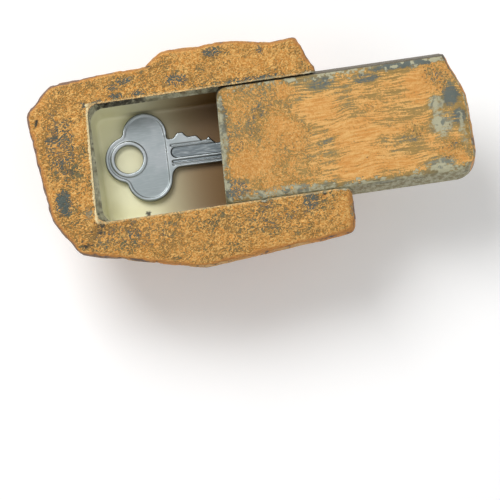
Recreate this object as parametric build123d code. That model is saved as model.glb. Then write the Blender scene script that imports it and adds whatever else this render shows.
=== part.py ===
from build123d import *
import math
import os
from collections import namedtuple

# A hide-a-key stone. It is a cast resin rock with a flat underside. A thick cover slides in a
# dovetailed slot across the underside, and a door key lies in a pocket beneath the cover.
# The stone lies on its back, so its underside faces up (+Z) and its crown rests at z = 0. The
# cover slides along X, and is drawn part of the way out of the slot's open end at +X.
# Sizes are in millimetres and degrees. Depths are measured down from the underside.

# ------------------------------------------------------------------ driving dimensions: the stone
rock_height = 38.0
rock_half_length = 45.0
girth_depth = 6.0
stone_edge_radius = 4.0
ledge_edge_radius = 2.5
stock_length = 400.0

# One plane-cut face of the stone. The bearing is the compass direction that the face looks in,
# counted from +X towards +Y, and the lean is how far it looks down towards the crown. The face
# passes at the reach from the stone's middle, at the depth below the underside. The reach is a
# share of the rock's half length, and the depth is a share of its height.
Facet = namedtuple("Facet", "bearing lean reach depth")

girth = girth_depth / rock_height
flank_facets = [
    Facet(22.0, 12.0, 0.893, girth),
    Facet(0.0, 9.0, 0.924, girth),
    Facet(331.0, 14.0, 1.093, girth),
    Facet(275.0, 9.0, 0.720, girth),
    Facet(256.0, 15.0, 0.707, girth),
    Facet(213.0, 20.0, 0.938, girth),
    Facet(186.0, 14.0, 0.960, girth),
    Facet(132.0, 17.0, 0.945, girth),
    Facet(93.0, 8.0, 0.582, girth),
]
crown_facets = [
    Facet(88.0, 58.0, 0.578, 0.632),
    Facet(264.0, 44.0, 0.633, 0.579),
    Facet(180.0, 52.0, 0.856, 0.526),
    Facet(222.0, 58.0, 0.689, 0.658),
    Facet(142.0, 60.0, 0.667, 0.684),
    Facet(4.0, 46.0, 0.844, 0.526),
    Facet(320.0, 50.0, 0.844, 0.579),
    Facet(44.0, 60.0, 0.733, 0.658),
]
# Chips knocked off the edges between the flank and the crown.
chip_facets = [
    Facet(184.0, 33.0, 0.872, 0.479),
    Facet(234.0, 36.0, 0.760, 0.500),
    Facet(296.0, 28.0, 0.835, 0.447),
    Facet(345.0, 30.0, 0.990, 0.420),
    Facet(150.0, 38.0, 0.880, 0.400),
]
# The ledge is a second, lower layer of stone that stands out of the far flank.
ledge_facets = [
    Facet(91.0, 6.0, 0.658, girth),
    Facet(79.0, 6.0, 0.711, girth),
    Facet(22.0, 14.0, 0.880, girth),
    Facet(127.0, 12.0, 0.591, girth),
    Facet(270.0, 0.0, -0.400, girth),
    Facet(72.0, 64.0, 0.589, 0.250),
]
# A nick broken out of the flank is a scoop of a ball. The ball's middle lies at the bearing, at the
# reach from the stone's middle and at the depth below the underside, in the same shares.
Nick = namedtuple("Nick", "bearing reach depth radius")

flank_nicks = [
    Nick(147.0, 1.020, 0.132, 2.6),
    Nick(168.0, 1.053, 0.132, 2.6),
    Nick(175.0, 1.010, 0.171, 2.2),
    Nick(183.0, 1.002, 0.132, 2.4),
    Nick(199.5, 1.013, 0.132, 2.6),
    Nick(208.0, 0.989, 0.105, 2.4),
    Nick(110.5, 0.647, 0.132, 2.2),
    Nick(29.8, 0.938, 0.105, 2.2),
    Nick(164.0, 1.055, 0.316, 5.0),
    Nick(191.0, 1.008, 0.368, 5.0),
    Nick(252.0, 0.787, 0.210, 5.0),
]

# ------------------------------------------------------- driving dimensions: the slot and the cover
slot_end = -29.0
slot_end_skew = 2.8
slot_middle = 0.2
slot_depth = 6.6
slot_flare_width = 1.9
slot_rail = 0.2
cut_overrun = 1.0
cover_clearance = 0.3
cover_corner_radius = 3.0
cover_outer_corner_radius = 5.5
cover_edge_radius = 1.0
cover_drawn_out = 36.0

# --------------------------------------------------------------- driving dimensions: the door key
key_thickness = 2.2
key_turn = -1.0
ring_radius = 6.7
ring_hole_radius = 4.0
ring_rim = 1.1
far_lobe_x = 5.2
far_lobe_y = 6.4
far_lobe_radius = 6.3
near_lobe_x = 5.3
near_lobe_y = -6.2
near_lobe_radius = 6.5
bow_length = 11.8
bow_border = 0.9
bow_recess = 0.25
bow_notch_radius = 0.8
bow_web_setback = 2.0
blade_height = 8.4
blade_length = 30.8
blade_middle = 0.3
near_shoulder_radius = 3.0
far_shoulder_radius = 0.9
stop_distance = 3.4
stop_base = 3.8
stop_width = 1.6
stop_height = 1.4
tip_length = 3.2
tip_height = 2.4
tip_flat = 1.0
bit_first = 10.0
bit_pitch = 3.8
bit_flat = 1.2
bit_slope = 0.9
bit_depths = [1.6, 2.7, 0.9, 2.2, 1.4]
groove_start = 0.3
blade_grooves = [(2.2, 0.6, 0.3), (0.1, 3.2, 0.5), (-2.5, 0.7, 0.45), (-3.4, 0.5, 0.3)]
blade_back_grooves = [(2.4, 1.0, 0.4), (-1.2, 3.0, 0.5)]

# ----------------------------------------------------------------- driving dimensions: the pocket
pocket_end_ledge = 2.1
pocket_depth = 10.0
pocket_draft_width = 1.2
pocket_corner_radius = 3.0
pocket_floor_radius = 0.6
key_room_behind = 1.3
key_room_ahead = 6.4
key_room_near = 4.7
key_room_far = 0.7

# ------------------------------------------------------------------------------ sizes that follow
ring_to_far_side = far_lobe_y + far_lobe_radius
ring_to_near_side = -near_lobe_y + near_lobe_radius
key_length = ring_radius + bow_length + blade_length
pocket_start = slot_end + pocket_end_ledge
pocket_length = key_room_behind + key_length + key_room_ahead
pocket_floor_width = key_room_near + ring_to_near_side + ring_to_far_side + key_room_far
slot_mouth = pocket_floor_width + 2 * (pocket_draft_width + slot_rail)
slot_floor_level = rock_height - slot_depth
pocket_floor_level = slot_floor_level - pocket_depth
ring_x = pocket_start + key_room_behind + ring_radius
ring_y = slot_middle - pocket_floor_width / 2 + key_room_near + ring_to_near_side


def facet_cutter(facet, inset):
    """The space outside one plane-cut face, moved inwards by the inset."""
    bearing = math.radians(facet.bearing)
    lean = math.radians(facet.lean)
    level = Vector(math.cos(bearing), math.sin(bearing), 0)
    outward = level * math.cos(lean) - Vector(0, 0, math.sin(lean))
    reach = facet.reach * rock_half_length
    on_face = level * reach + Vector(0, 0, (1 - facet.depth) * rock_height)
    face_plane = Plane(origin=on_face - outward * inset, z_dir=outward)
    stock = Box(stock_length, stock_length, stock_length, align=(Align.CENTER, Align.CENTER, Align.MIN))
    return face_plane * stock


def rounded_stone(facets, edge_radius):
    """A block cut by the facets between the underside and the crown, with every edge rounded."""
    core = Pos(0, 0, edge_radius) * Box(
        stock_length,
        stock_length,
        rock_height - 2 * edge_radius,
        align=(Align.CENTER, Align.CENTER, Align.MIN),
    )
    for facet in facets:
        core -= facet_cutter(facet, edge_radius)
    return offset(core, amount=edge_radius, kind=Kind.ARC)


def nick_ball(nick):
    """The ball that scoops one nick out of the flank."""
    bearing = math.radians(nick.bearing)
    reach = nick.reach * rock_half_length
    level = (1 - nick.depth) * rock_height
    return Pos(reach * math.cos(bearing), reach * math.sin(bearing), level) * Sphere(nick.radius)


def stone_form():
    """The whole stone before its slot and pocket are cut: the main stone, its ledge and its nicks."""
    main_stone = rounded_stone(flank_facets + crown_facets + chip_facets, stone_edge_radius)
    ledge = rounded_stone(ledge_facets, ledge_edge_radius)
    whole = main_stone + ledge
    for nick in flank_nicks:
        whole -= nick_ball(nick)
    return whole


def slot_half_width(depth):
    """Half the dovetail's width at a depth below the underside. It widens towards the floor."""
    return slot_mouth / 2 + slot_flare_width * depth / slot_depth


def dovetail_bar(start, top_depth, floor_depth, side_gap, corner_radius):
    """A dovetailed bar along X, out past the stone. It starts with a skewed, round-cornered end."""
    top = rock_height - top_depth
    floor = rock_height - floor_depth
    top_half = slot_half_width(top_depth) - side_gap
    floor_half = slot_half_width(floor_depth) - side_gap
    outline = Polyline(
        (-floor_half, floor), (floor_half, floor), (top_half, top), (-top_half, top), close=True
    )
    skew = math.radians(slot_end_skew)
    across = (math.sin(skew), math.cos(skew), 0)
    outwards = (math.cos(skew), -math.sin(skew), 0)
    end_plane = Plane(origin=(start, slot_middle, 0), x_dir=across, z_dir=outwards)
    bar = extrude(end_plane * make_face(outline), amount=2 * rock_half_length, dir=(1, 0, 0))
    end_edges = bar.faces().sort_by(Axis.X)[0].edges()
    corner_edges = end_edges.sort_by(Axis.Y)
    return fillet([corner_edges[0], corner_edges[-1]], corner_radius)


def slot_space():
    """The dovetailed slot, cut from just above the underside and open at the stone's +X flank."""
    corner_radius = cover_corner_radius + cover_clearance
    return dovetail_bar(slot_end, -cut_overrun, slot_depth, 0.0, corner_radius)


def pocket_space():
    """The key's pocket below the slot's floor, with drafted walls and a rounded foot."""
    plan = Pos(pocket_start + pocket_length / 2, slot_middle) * RectangleRounded(
        pocket_length, pocket_floor_width, pocket_corner_radius
    )
    draft = math.degrees(math.atan(pocket_draft_width / pocket_depth))
    wall = extrude(plan, amount=pocket_depth + cut_overrun, taper=-draft)
    space = Pos(0, 0, pocket_floor_level) * wall
    foot_edges = space.faces().sort_by(Axis.Z)[0].edges()
    return fillet(foot_edges, pocket_floor_radius)


def make_rock_body(stone):
    """The stone with the slot and the pocket cut out of it."""
    return stone - slot_space() - pocket_space()


def make_slide_cover(stone):
    """The cover, made shut, where its outer end is the stone's own flank, then drawn out."""
    bar = dovetail_bar(
        slot_end + cover_clearance,
        cover_clearance,
        slot_depth - cover_clearance,
        cover_clearance,
        cover_corner_radius,
    )
    top_edges = bar.faces().sort_by(Axis.Z)[-1].edges()
    shut_cover = fillet(top_edges, cover_edge_radius) & stone
    box = shut_cover.bounding_box()
    middle = Pos(box.center().X, slot_middle)
    rounded_end = middle * RectangleRounded(box.size.X, box.size.Y, cover_outer_corner_radius)
    square_end = middle * Rectangle(box.size.X, box.size.Y, align=(Align.MAX, Align.CENTER))
    shut_cover &= extrude(rounded_end + square_end, amount=rock_height)
    return Pos(cover_drawn_out, 0, 0) * shut_cover


def bow_outline(web_length):
    """The three-lobed bow: the ring lobe at the origin, two side lobes and the web between them."""
    web_height = far_lobe_y - near_lobe_y
    outline = Circle(ring_radius)
    outline += Pos(far_lobe_x, far_lobe_y) * Circle(far_lobe_radius)
    outline += Pos(near_lobe_x, near_lobe_y) * Circle(near_lobe_radius)
    outline += Pos(web_length / 2, near_lobe_y + web_height / 2) * Rectangle(web_length, web_height)
    return outline


def with_notches(bow):
    """The bow with the inner corners between its ring lobe and its side lobes rounded."""
    notches = bow.vertices().filter_by(lambda corner: corner.X < near_lobe_x - ring_hole_radius)
    return fillet(notches, bow_notch_radius)


def bitting_points():
    """The blade's upper edge from the tip back to the bow, dipping at each cut of the bitting."""
    upper = blade_middle + blade_height / 2
    points = []
    for number, depth in reversed(list(enumerate(bit_depths))):
        centre = bow_length + bit_first + number * bit_pitch
        foot = bit_flat / 2
        shoulder = foot + depth * bit_slope
        points.append((centre + shoulder, upper))
        points.append((centre + foot, upper - depth))
        points.append((centre - foot, upper - depth))
        points.append((centre - shoulder, upper))
    return points


def blade_outline():
    """The blade seen from above, with its bitting on the upper edge and a pointed tip."""
    lower = blade_middle - blade_height / 2
    upper = blade_middle + blade_height / 2
    end = bow_length + blade_length
    corners = [(bow_length / 2, upper), (bow_length / 2, lower), (end - tip_length, lower)]
    corners += [(end, lower + tip_height), (end, lower + tip_height + tip_flat)]
    corners += [(end - tip_length, upper)]
    return make_face(Polyline(corners, close=True)) + stop_outline() - bitting_cuts()


def stop_outline():
    """The stop that stands out of the blade's upper edge near the bow."""
    foot = blade_middle
    top = blade_middle + blade_height / 2 + stop_height
    middle = bow_length + stop_distance
    corners = [(middle - stop_base / 2, top - stop_height), (middle - stop_width / 2, top)]
    corners += [(middle + stop_width / 2, top), (middle + stop_base / 2, top - stop_height)]
    corners += [(middle + stop_base / 2, foot), (middle - stop_base / 2, foot)]
    return make_face(Polyline(corners, close=True))


def bitting_cuts():
    """One flat-bottomed notch for each depth of the bitting."""
    points = bitting_points()
    cuts = Sketch()
    for first in range(0, len(points), 4):
        right_top, right_foot, left_foot, left_top = points[first : first + 4]
        over_left = (left_top[0], left_top[1] + cut_overrun)
        over_right = (right_top[0], right_top[1] + cut_overrun)
        corners = [right_foot, left_foot, left_top, over_left, over_right, right_top]
        cuts += make_face(Polyline(corners, close=True))
    return cuts


def with_shoulders(outline):
    """The key's outline with its two inner corners rounded, where the blade leaves the bow."""
    for side, radius in ((-1, near_shoulder_radius), (1, far_shoulder_radius)):
        corner = Vertex(bow_length, blade_middle + side * blade_height / 2, 0)
        outline = fillet(outline.vertices().sort_by_distance(corner)[0], radius)
    return outline


def groove_cuts(grooves, level, cut_up):
    """Round-ended milled grooves along the blade, cut into one face of it at the level."""
    length = blade_length
    cuts = Part()
    for middle, width, depth in grooves:
        run = Pos(bow_length + groove_start + length / 2, blade_middle + middle) * SlotOverall(
            length + width, width
        )
        bottom = level if cut_up else level - depth
        cuts += Pos(0, 0, bottom) * extrude(run, amount=depth)
    return cuts


def make_door_key():
    """The door key: a flat blank with a bordered bow, a ring hole, a milled and bitted blade."""
    bow = with_notches(bow_outline(bow_length - bow_web_setback))
    blank = extrude(with_shoulders(bow + blade_outline()), amount=key_thickness)
    hole = extrude(Circle(ring_hole_radius), amount=key_thickness)
    panel = offset(with_notches(bow_outline(bow_length)), amount=-bow_border)
    panel -= Circle(ring_hole_radius + ring_rim)
    recess = extrude(panel, amount=bow_recess)
    key = blank - hole - recess - Pos(0, 0, key_thickness - bow_recess) * recess
    key -= groove_cuts(blade_grooves, key_thickness, False)
    key -= groove_cuts(blade_back_grooves, 0.0, True)
    return Location((ring_x, ring_y, pocket_floor_level), (0, 0, key_turn)) * key


def stand_on_origin(pieces):
    """Moves all the pieces together, so that the middle of their box's foot is at the origin."""
    boxes = [piece.bounding_box() for piece in pieces.values()]
    middle_x = (min(box.min.X for box in boxes) + max(box.max.X for box in boxes)) / 2
    middle_y = (min(box.min.Y for box in boxes) + max(box.max.Y for box in boxes)) / 2
    move = Pos(-middle_x, -middle_y, -min(box.min.Z for box in boxes))
    print("origin moved by", move.position)
    return {name: move * piece for name, piece in pieces.items()}


stone = stone_form()
pieces = {
    "rock_body": make_rock_body(stone),
    "slide_cover": make_slide_cover(stone),
    "door_key": make_door_key(),
}
os.makedirs("parts", exist_ok=True)
for name, piece in stand_on_origin(pieces).items():
    export_step(piece.solid(), f"parts/{name}.step")
    print(name, len(piece.solids()), piece.bounding_box())
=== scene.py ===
"""A hide-a-key stone on its back: the cast stone, its slide cover drawn part open, and the key inside.

The shapes are worked out in millimetres in the stone's own frame, whose origin is the middle of the
stone, with +X the way the cover slides and +Z out of the underside. They are put into the row's
frame, in metres, when a mesh is made. Where nothing else is said, a length is in mm and an angle in
degrees.
"""

import logging
import math
from dataclasses import dataclass, field
from enum import Enum

import bmesh
import bpy
import numpy as np
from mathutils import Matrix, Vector


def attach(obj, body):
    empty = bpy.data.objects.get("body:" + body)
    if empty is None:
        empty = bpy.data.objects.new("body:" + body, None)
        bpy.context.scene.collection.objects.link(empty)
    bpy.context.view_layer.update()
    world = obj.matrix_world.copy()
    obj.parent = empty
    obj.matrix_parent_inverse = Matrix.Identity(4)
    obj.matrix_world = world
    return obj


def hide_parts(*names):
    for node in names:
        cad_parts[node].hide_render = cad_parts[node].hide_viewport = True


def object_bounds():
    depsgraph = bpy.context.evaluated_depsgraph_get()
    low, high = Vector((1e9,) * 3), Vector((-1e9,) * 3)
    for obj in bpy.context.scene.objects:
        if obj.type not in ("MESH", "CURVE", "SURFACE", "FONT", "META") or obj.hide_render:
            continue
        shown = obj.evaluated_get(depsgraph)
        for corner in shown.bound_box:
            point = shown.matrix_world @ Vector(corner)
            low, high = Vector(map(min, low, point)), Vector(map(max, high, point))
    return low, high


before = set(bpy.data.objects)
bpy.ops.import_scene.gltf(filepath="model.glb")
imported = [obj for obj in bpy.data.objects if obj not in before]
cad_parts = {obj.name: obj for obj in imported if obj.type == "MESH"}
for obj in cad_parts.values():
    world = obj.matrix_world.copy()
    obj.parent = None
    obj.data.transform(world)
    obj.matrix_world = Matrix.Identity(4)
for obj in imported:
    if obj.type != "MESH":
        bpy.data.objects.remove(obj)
CAD_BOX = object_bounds()
LOG = logging.getLogger("hide_a_key_stone")
METRES = 0.001
STONE_ORIGIN = np.array([-16.2429, 1.3215, 0.0])
"""Where the stone's own origin lies in the row's frame, in mm."""

Array = np.ndarray
Range = tuple[float, float]
Triple = tuple[float, float, float]
Colour = tuple[float, float, float, float]
Socket = bpy.types.NodeSocket
Tree = bpy.types.NodeTree
Material = bpy.types.Material
Piece = bpy.types.Object
Value = Socket | float
Outputs = dict[str, Socket]
NUMBER, COLOUR, VECTOR = "NodeSocketFloat", "NodeSocketColor", "NodeSocketVector"
WHITE: Colour = (1.0, 1.0, 1.0, 1.0)


def srgb(red: int, green: int, blue: int) -> Colour:
    """A colour given as it shows on a screen, 0 to 255, turned into the linear values a shader takes.

    Args:
        red: Red as shown.
        green: Green as shown.
        blue: Blue as shown.

    Returns:
        The linear colour with full alpha.
    """
    shown = np.array([red, green, blue]) / 255.0
    linear = np.where(shown <= 0.04045, shown / 12.92, ((shown + 0.055) / 1.055) ** 2.4)
    return (float(linear[0]), float(linear[1]), float(linear[2]), 1.0)


def smooth_step(value: Array, low: float, high: float) -> Array:
    """0 below low, 1 above high, and a smooth rise 3t^2 - 2t^3 between them."""
    t = np.clip((value - low) / (high - low), 0.0, 1.0)
    return t * t * (3.0 - 2.0 * t)


# ---- noise


class LatticeNoise:
    """Smooth 3-D gradient noise: each lattice corner has a slope, and the slopes are blended."""

    SIZE = 256
    STRENGTH = 1.5
    LAYER_SHIFT = 17.3
    CREST_SHIFT = -9.1

    def __init__(self, seed: int) -> None:
        """Draws the lattice's slopes from a fixed seed."""
        rng = np.random.default_rng(seed)
        self.order = rng.permutation(self.SIZE)
        slopes = rng.normal(size=(self.SIZE, 3))
        self.slopes = slopes / np.linalg.norm(slopes, axis=1, keepdims=True)

    def at(self, points: Array, size: float) -> Array:
        """The noise at points, about -1 to 1.

        Args:
            points: Places in mm, of any leading shape, with 3 coordinates last.
            size: The size in mm of one bump and one hollow together, roughly.

        Returns:
            One value for each point: the sum over the 8 corners of the point's lattice cell of
            the corner's slope times the offset from the corner, weighted by 6t^5 - 15t^4 + 10t^3.
        """
        place = points / size
        cell = np.floor(place).astype(int)
        inside = place - cell
        fade = inside**3 * (inside * (inside * 6.0 - 15.0) + 10.0)
        total = np.zeros(points.shape[:-1])
        for corner in np.ndindex(2, 2, 2):
            index = (cell + corner) % self.SIZE
            key = self.order[(self.order[(self.order[index[..., 0]] + index[..., 1]) % self.SIZE]
                              + index[..., 2]) % self.SIZE]
            reach = inside - np.array(corner)
            weight = np.prod(np.where(np.array(corner) == 1, fade, 1.0 - fade), axis=-1)
            total += weight * np.sum(self.slopes[key] * reach, axis=-1)
        return total * self.STRENGTH

    def layered(self, points: Array, size: float, layers: int) -> Array:
        """Noise with finer noise on it.

        Args:
            points: Places in mm.
            size: The size of the largest bumps.
            layers: How many layers there are.

        Returns:
            The sum of the noise at size, size/2, size/4 and so on, each layer half as strong.
        """
        total = np.zeros(points.shape[:-1])
        for layer in range(layers):
            total += self.at(points + self.LAYER_SHIFT * layer, size / 2**layer) / 2**layer
        return total

    def ridged(self, points: Array, size: float, layers: int) -> Array:
        """Sharp-crested noise, 0 in the hollows and 1 on the crests.

        Args:
            points: Places in mm.
            size: The size of the largest crests.
            layers: How many layers there are.

        Returns:
            The layered sum of one minus the noise's size, divided by its largest value.
        """
        total = np.zeros(points.shape[:-1])
        for layer in range(layers):
            total += (1.0 - np.abs(self.at(points + self.CREST_SHIFT * layer, size / 2**layer))) / 2**layer
        return total / (2.0 - 2.0 ** (1 - layers))


# ---- meshes


def add_object(name: str, data: bpy.types.ID) -> Piece:
    """Puts a new object with its data into the scene.

    Args:
        name: The object's name.
        data: Its mesh, its light or its camera.

    Returns:
        The object.
    """
    made = bpy.data.objects.new(name, data)
    bpy.context.scene.collection.objects.link(made)
    return made


def distances_along(outline: Array) -> Array:
    """How far along an outline each of its points lies: the sum of the steps before it."""
    return np.concatenate([[0.0], np.cumsum(np.linalg.norm(np.diff(outline, axis=0), axis=1))])


def points_along(outline: Array, distances: Array) -> Array:
    """The places at given distances along an outline, as rows of 2 coordinates."""
    stations = distances_along(outline)
    return np.stack([np.interp(distances, stations, outline[:, axis]) for axis in (0, 1)], axis=-1)


@dataclass
class Surface:
    """A mesh as whole arrays: points in mm in the stone's frame, and faces as rows of indices."""

    points: Array  # one row of 3 coordinates for each point
    quads: Array  # one row of 4 indices for each four-sided face
    triangles: Array  # one row of 3 indices for each three-sided face

    @classmethod
    def closed_grid(cls, grid: Array, first_pole: Array, last_pole: Array) -> "Surface":
        """Closes a grid of rings into one skin, with a fan of triangles to a pole at each end.

        Args:
            grid: Points as [ring, step round the ring, coordinate].
            first_pole: The point that closes the first ring.
            last_pole: The point that closes the last ring.

        Returns:
            The closed surface.
        """
        rings, steps = grid.shape[:2]
        index = np.arange(rings * steps).reshape(rings, steps)
        onward = np.roll(index, -1, axis=1)
        quads = np.stack([index[:-1], index[1:], onward[1:], onward[:-1]], axis=-1).reshape(-1, 4)
        first, last = rings * steps, rings * steps + 1
        start = np.stack([np.full(steps, first), index[0], onward[0]], axis=-1)
        end = np.stack([np.full(steps, last), onward[-1], index[-1]], axis=-1)
        points = np.concatenate([grid.reshape(-1, 3), first_pole[None], last_pole[None]])
        return cls(points, quads, np.concatenate([start, end]))

    def to_object(self, name: str) -> Piece:
        """Puts the arrays into a new mesh object in the row's frame.

        Args:
            name: The object's name.

        Returns:
            The object, with its place in its mesh and its faces turned outwards.
        """
        mesh = bpy.data.meshes.new(name)
        corners = np.concatenate([self.quads.ravel(), self.triangles.ravel()])
        sides = np.concatenate([np.full(len(self.quads), 4), np.full(len(self.triangles), 3)])
        mesh.vertices.add(len(self.points))
        mesh.vertices.foreach_set("co", ((self.points + STONE_ORIGIN) * METRES).ravel())
        mesh.loops.add(len(corners))
        mesh.loops.foreach_set("vertex_index", corners)
        mesh.polygons.add(len(sides))
        mesh.polygons.foreach_set("loop_start", np.cumsum(sides) - sides)
        mesh.update(calc_edges=True)
        mesh.validate()
        made = add_object(name, mesh)
        face_outwards(made)
        return made


def face_outwards(made: Piece) -> None:
    """Turns every face of a closed mesh outwards, and shades it smooth."""
    work = bmesh.new()
    work.from_mesh(made.data)
    bmesh.ops.recalc_face_normals(work, faces=work.faces)
    work.to_mesh(made.data)
    work.free()
    made.data.polygons.foreach_set("use_smooth", np.ones(len(made.data.polygons), dtype=bool))


def read_points(made: Piece) -> Array:
    """A mesh's points in mm in the stone's frame, as one array."""
    flat = np.empty(len(made.data.vertices) * 3)
    made.data.vertices.foreach_get("co", flat)
    return flat.reshape(-1, 3) / METRES - STONE_ORIGIN


def write_points(made: Piece, points: Array) -> None:
    """Puts points in mm in the stone's frame back into a mesh."""
    made.data.vertices.foreach_set("co", ((points + STONE_ORIGIN) * METRES).ravel())
    made.data.update()


def read_normals(made: Piece) -> Array:
    """A mesh's point normals, as one array."""
    flat = np.empty(len(made.data.vertices) * 3)
    made.data.vertices.foreach_get("normal", flat)
    return flat.reshape(-1, 3)


def store_masks(made: Piece, masks: dict[str, Array]) -> None:
    """Stores named numbers, one of each for every point of the mesh, for its material to read."""
    for name, values in masks.items():
        layer = made.data.attributes.new(name, "FLOAT", "POINT")
        layer.data.foreach_set("value", values.astype(np.float32))


def dress(made: Piece, finish: Material, body: str, node: str) -> None:
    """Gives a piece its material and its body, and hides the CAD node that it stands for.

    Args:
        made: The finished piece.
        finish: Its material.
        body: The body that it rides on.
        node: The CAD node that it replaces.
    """
    made.data.materials.clear()
    made.data.materials.append(finish)
    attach(made, body)
    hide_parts(node)


class Cut(Enum):
    """How one closed mesh is combined with another."""

    TAKE_AWAY = "DIFFERENCE"
    KEEP_COMMON = "INTERSECT"


def combine(made: Piece, tool: Piece, cut: Cut) -> None:
    """Cuts a closed mesh with another one, applies the result and removes the tool.

    Args:
        made: The mesh that is cut.
        tool: The mesh that cuts it.
        cut: Whether the tool's space is taken away or is what is kept.
    """
    boolean = made.modifiers.new("cut", "BOOLEAN")
    boolean.operation = cut.value
    boolean.solver = "MANIFOLD"
    boolean.object = tool
    evaluated = made.evaluated_get(bpy.context.evaluated_depsgraph_get())
    result = bpy.data.meshes.new_from_object(evaluated)
    made.modifiers.clear()
    old, made.data = made.data, result
    bpy.data.meshes.remove(old)
    result.name = made.name
    bpy.data.objects.remove(tool)


# ---- the stone's form


@dataclass(frozen=True)
class Facet:
    """One plane-cut face of the stone."""

    bearing: float  # the way it looks from +X towards +Y
    lean: float  # how far it looks down towards the crown
    reach: float  # its distance from the stone's middle at the depth, as a share of the half length
    depth: float  # the depth below the underside where the reach is measured, as a share of the height

    def plane(self, half_length: float, height: float, centre: Array) -> tuple[Array, float]:
        """The face's plane.

        Args:
            half_length: The stone's half length, in mm.
            height: The stone's height, in mm.
            centre: The point that the distance is measured from.

        Returns:
            The outward normal n = (cos b cos l, sin b cos l, -sin l) for the bearing b and the lean
            l, and the distance n.(p - c) of a point p on the face from the centre c.
        """
        bearing, lean = math.radians(self.bearing), math.radians(self.lean)
        level = np.array([math.cos(bearing), math.sin(bearing), 0.0])
        normal = level * math.cos(lean) - np.array([0.0, 0.0, math.sin(lean)])
        on_face = level * self.reach * half_length + np.array([0.0, 0.0, height * (1.0 - self.depth)])
        return normal, float(normal @ (on_face - centre))


@dataclass(frozen=True)
class Nick:
    """A scoop of a ball that is broken out of the flank."""

    bearing: float  # the way to the ball's middle from +X towards +Y
    reach: float  # its distance from the stone's middle, as a share of the half length
    depth: float  # its depth below the underside, as a share of the height
    radius: float  # the ball's radius

    def middle(self, half_length: float, height: float) -> Array:
        """The ball's middle in the stone's frame, in mm."""
        bearing, reach = math.radians(self.bearing), self.reach * half_length
        level = height * (1.0 - self.depth)
        return np.array([reach * math.cos(bearing), reach * math.sin(bearing), level])

    def scoop(self, directions: Array, lengths: Array, middle: Array) -> Array:
        """Cuts the skin's rays short where they enter the ball.

        Args:
            directions: The rays' unit vectors, with 3 coordinates last.
            lengths: The rays' lengths.
            middle: The ball's middle from the point that the rays leave.

        Returns:
            The lengths: u.c - sqrt((u.c)^2 - c.c + r^2) for a ray u, the middle c and the radius r
            wherever the ray enters the ball before its end and the ball holds its end.
        """
        along = directions @ middle
        root = along**2 - middle @ middle + self.radius**2
        half_chord = np.sqrt(np.maximum(root, 0.0))
        cut = (root > 0.0) & (along - half_chord < lengths) & (along + half_chord > lengths)
        return np.where(cut, along - half_chord, lengths)


@dataclass(frozen=True)
class Spot:
    """One place on the stone: a patch of paint, or a chip or a lump of the casting."""

    x: float  # its middle along X
    y: float  # its middle along Y
    half_x: float  # half its length along X
    half_y: float  # half its width along Y
    strength: float = 1.0  # how strong the paint is, or how far the skin rises (below 0 for a chip)

    def spread(self, points: Array) -> Array:
        """The strength at each point: exp(-(s^2)^2), where s is the distance in half sizes."""
        along, across = (points[..., 0] - self.x) / self.half_x, (points[..., 1] - self.y) / self.half_y
        return self.strength * np.exp(-((along**2 + across**2) ** 2))


def patch_masks(points: Array, patches: dict[str, list[Spot]]) -> dict[str, Array]:
    """For each named list of spots, the largest strength that any of them has at each point."""
    return {name: np.max([spot.spread(points) for spot in spots], axis=0)
            for name, spots in patches.items()}


@dataclass(frozen=True)
class Bumps:
    """One kind of bump in the skin's relief."""

    height: float  # how high it stands
    size: float  # the size of one bump and one hollow together
    layers: int  # how many layers it has, each half as large as the one before
    shift: float = 0.0  # how far it is moved through the noise

    def over(self, noise: LatticeNoise, points: Array) -> Array:
        """How far it raises each point, in mm: its height times the layered noise."""
        return self.height * noise.layered(points + self.shift, self.size, self.layers)


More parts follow.
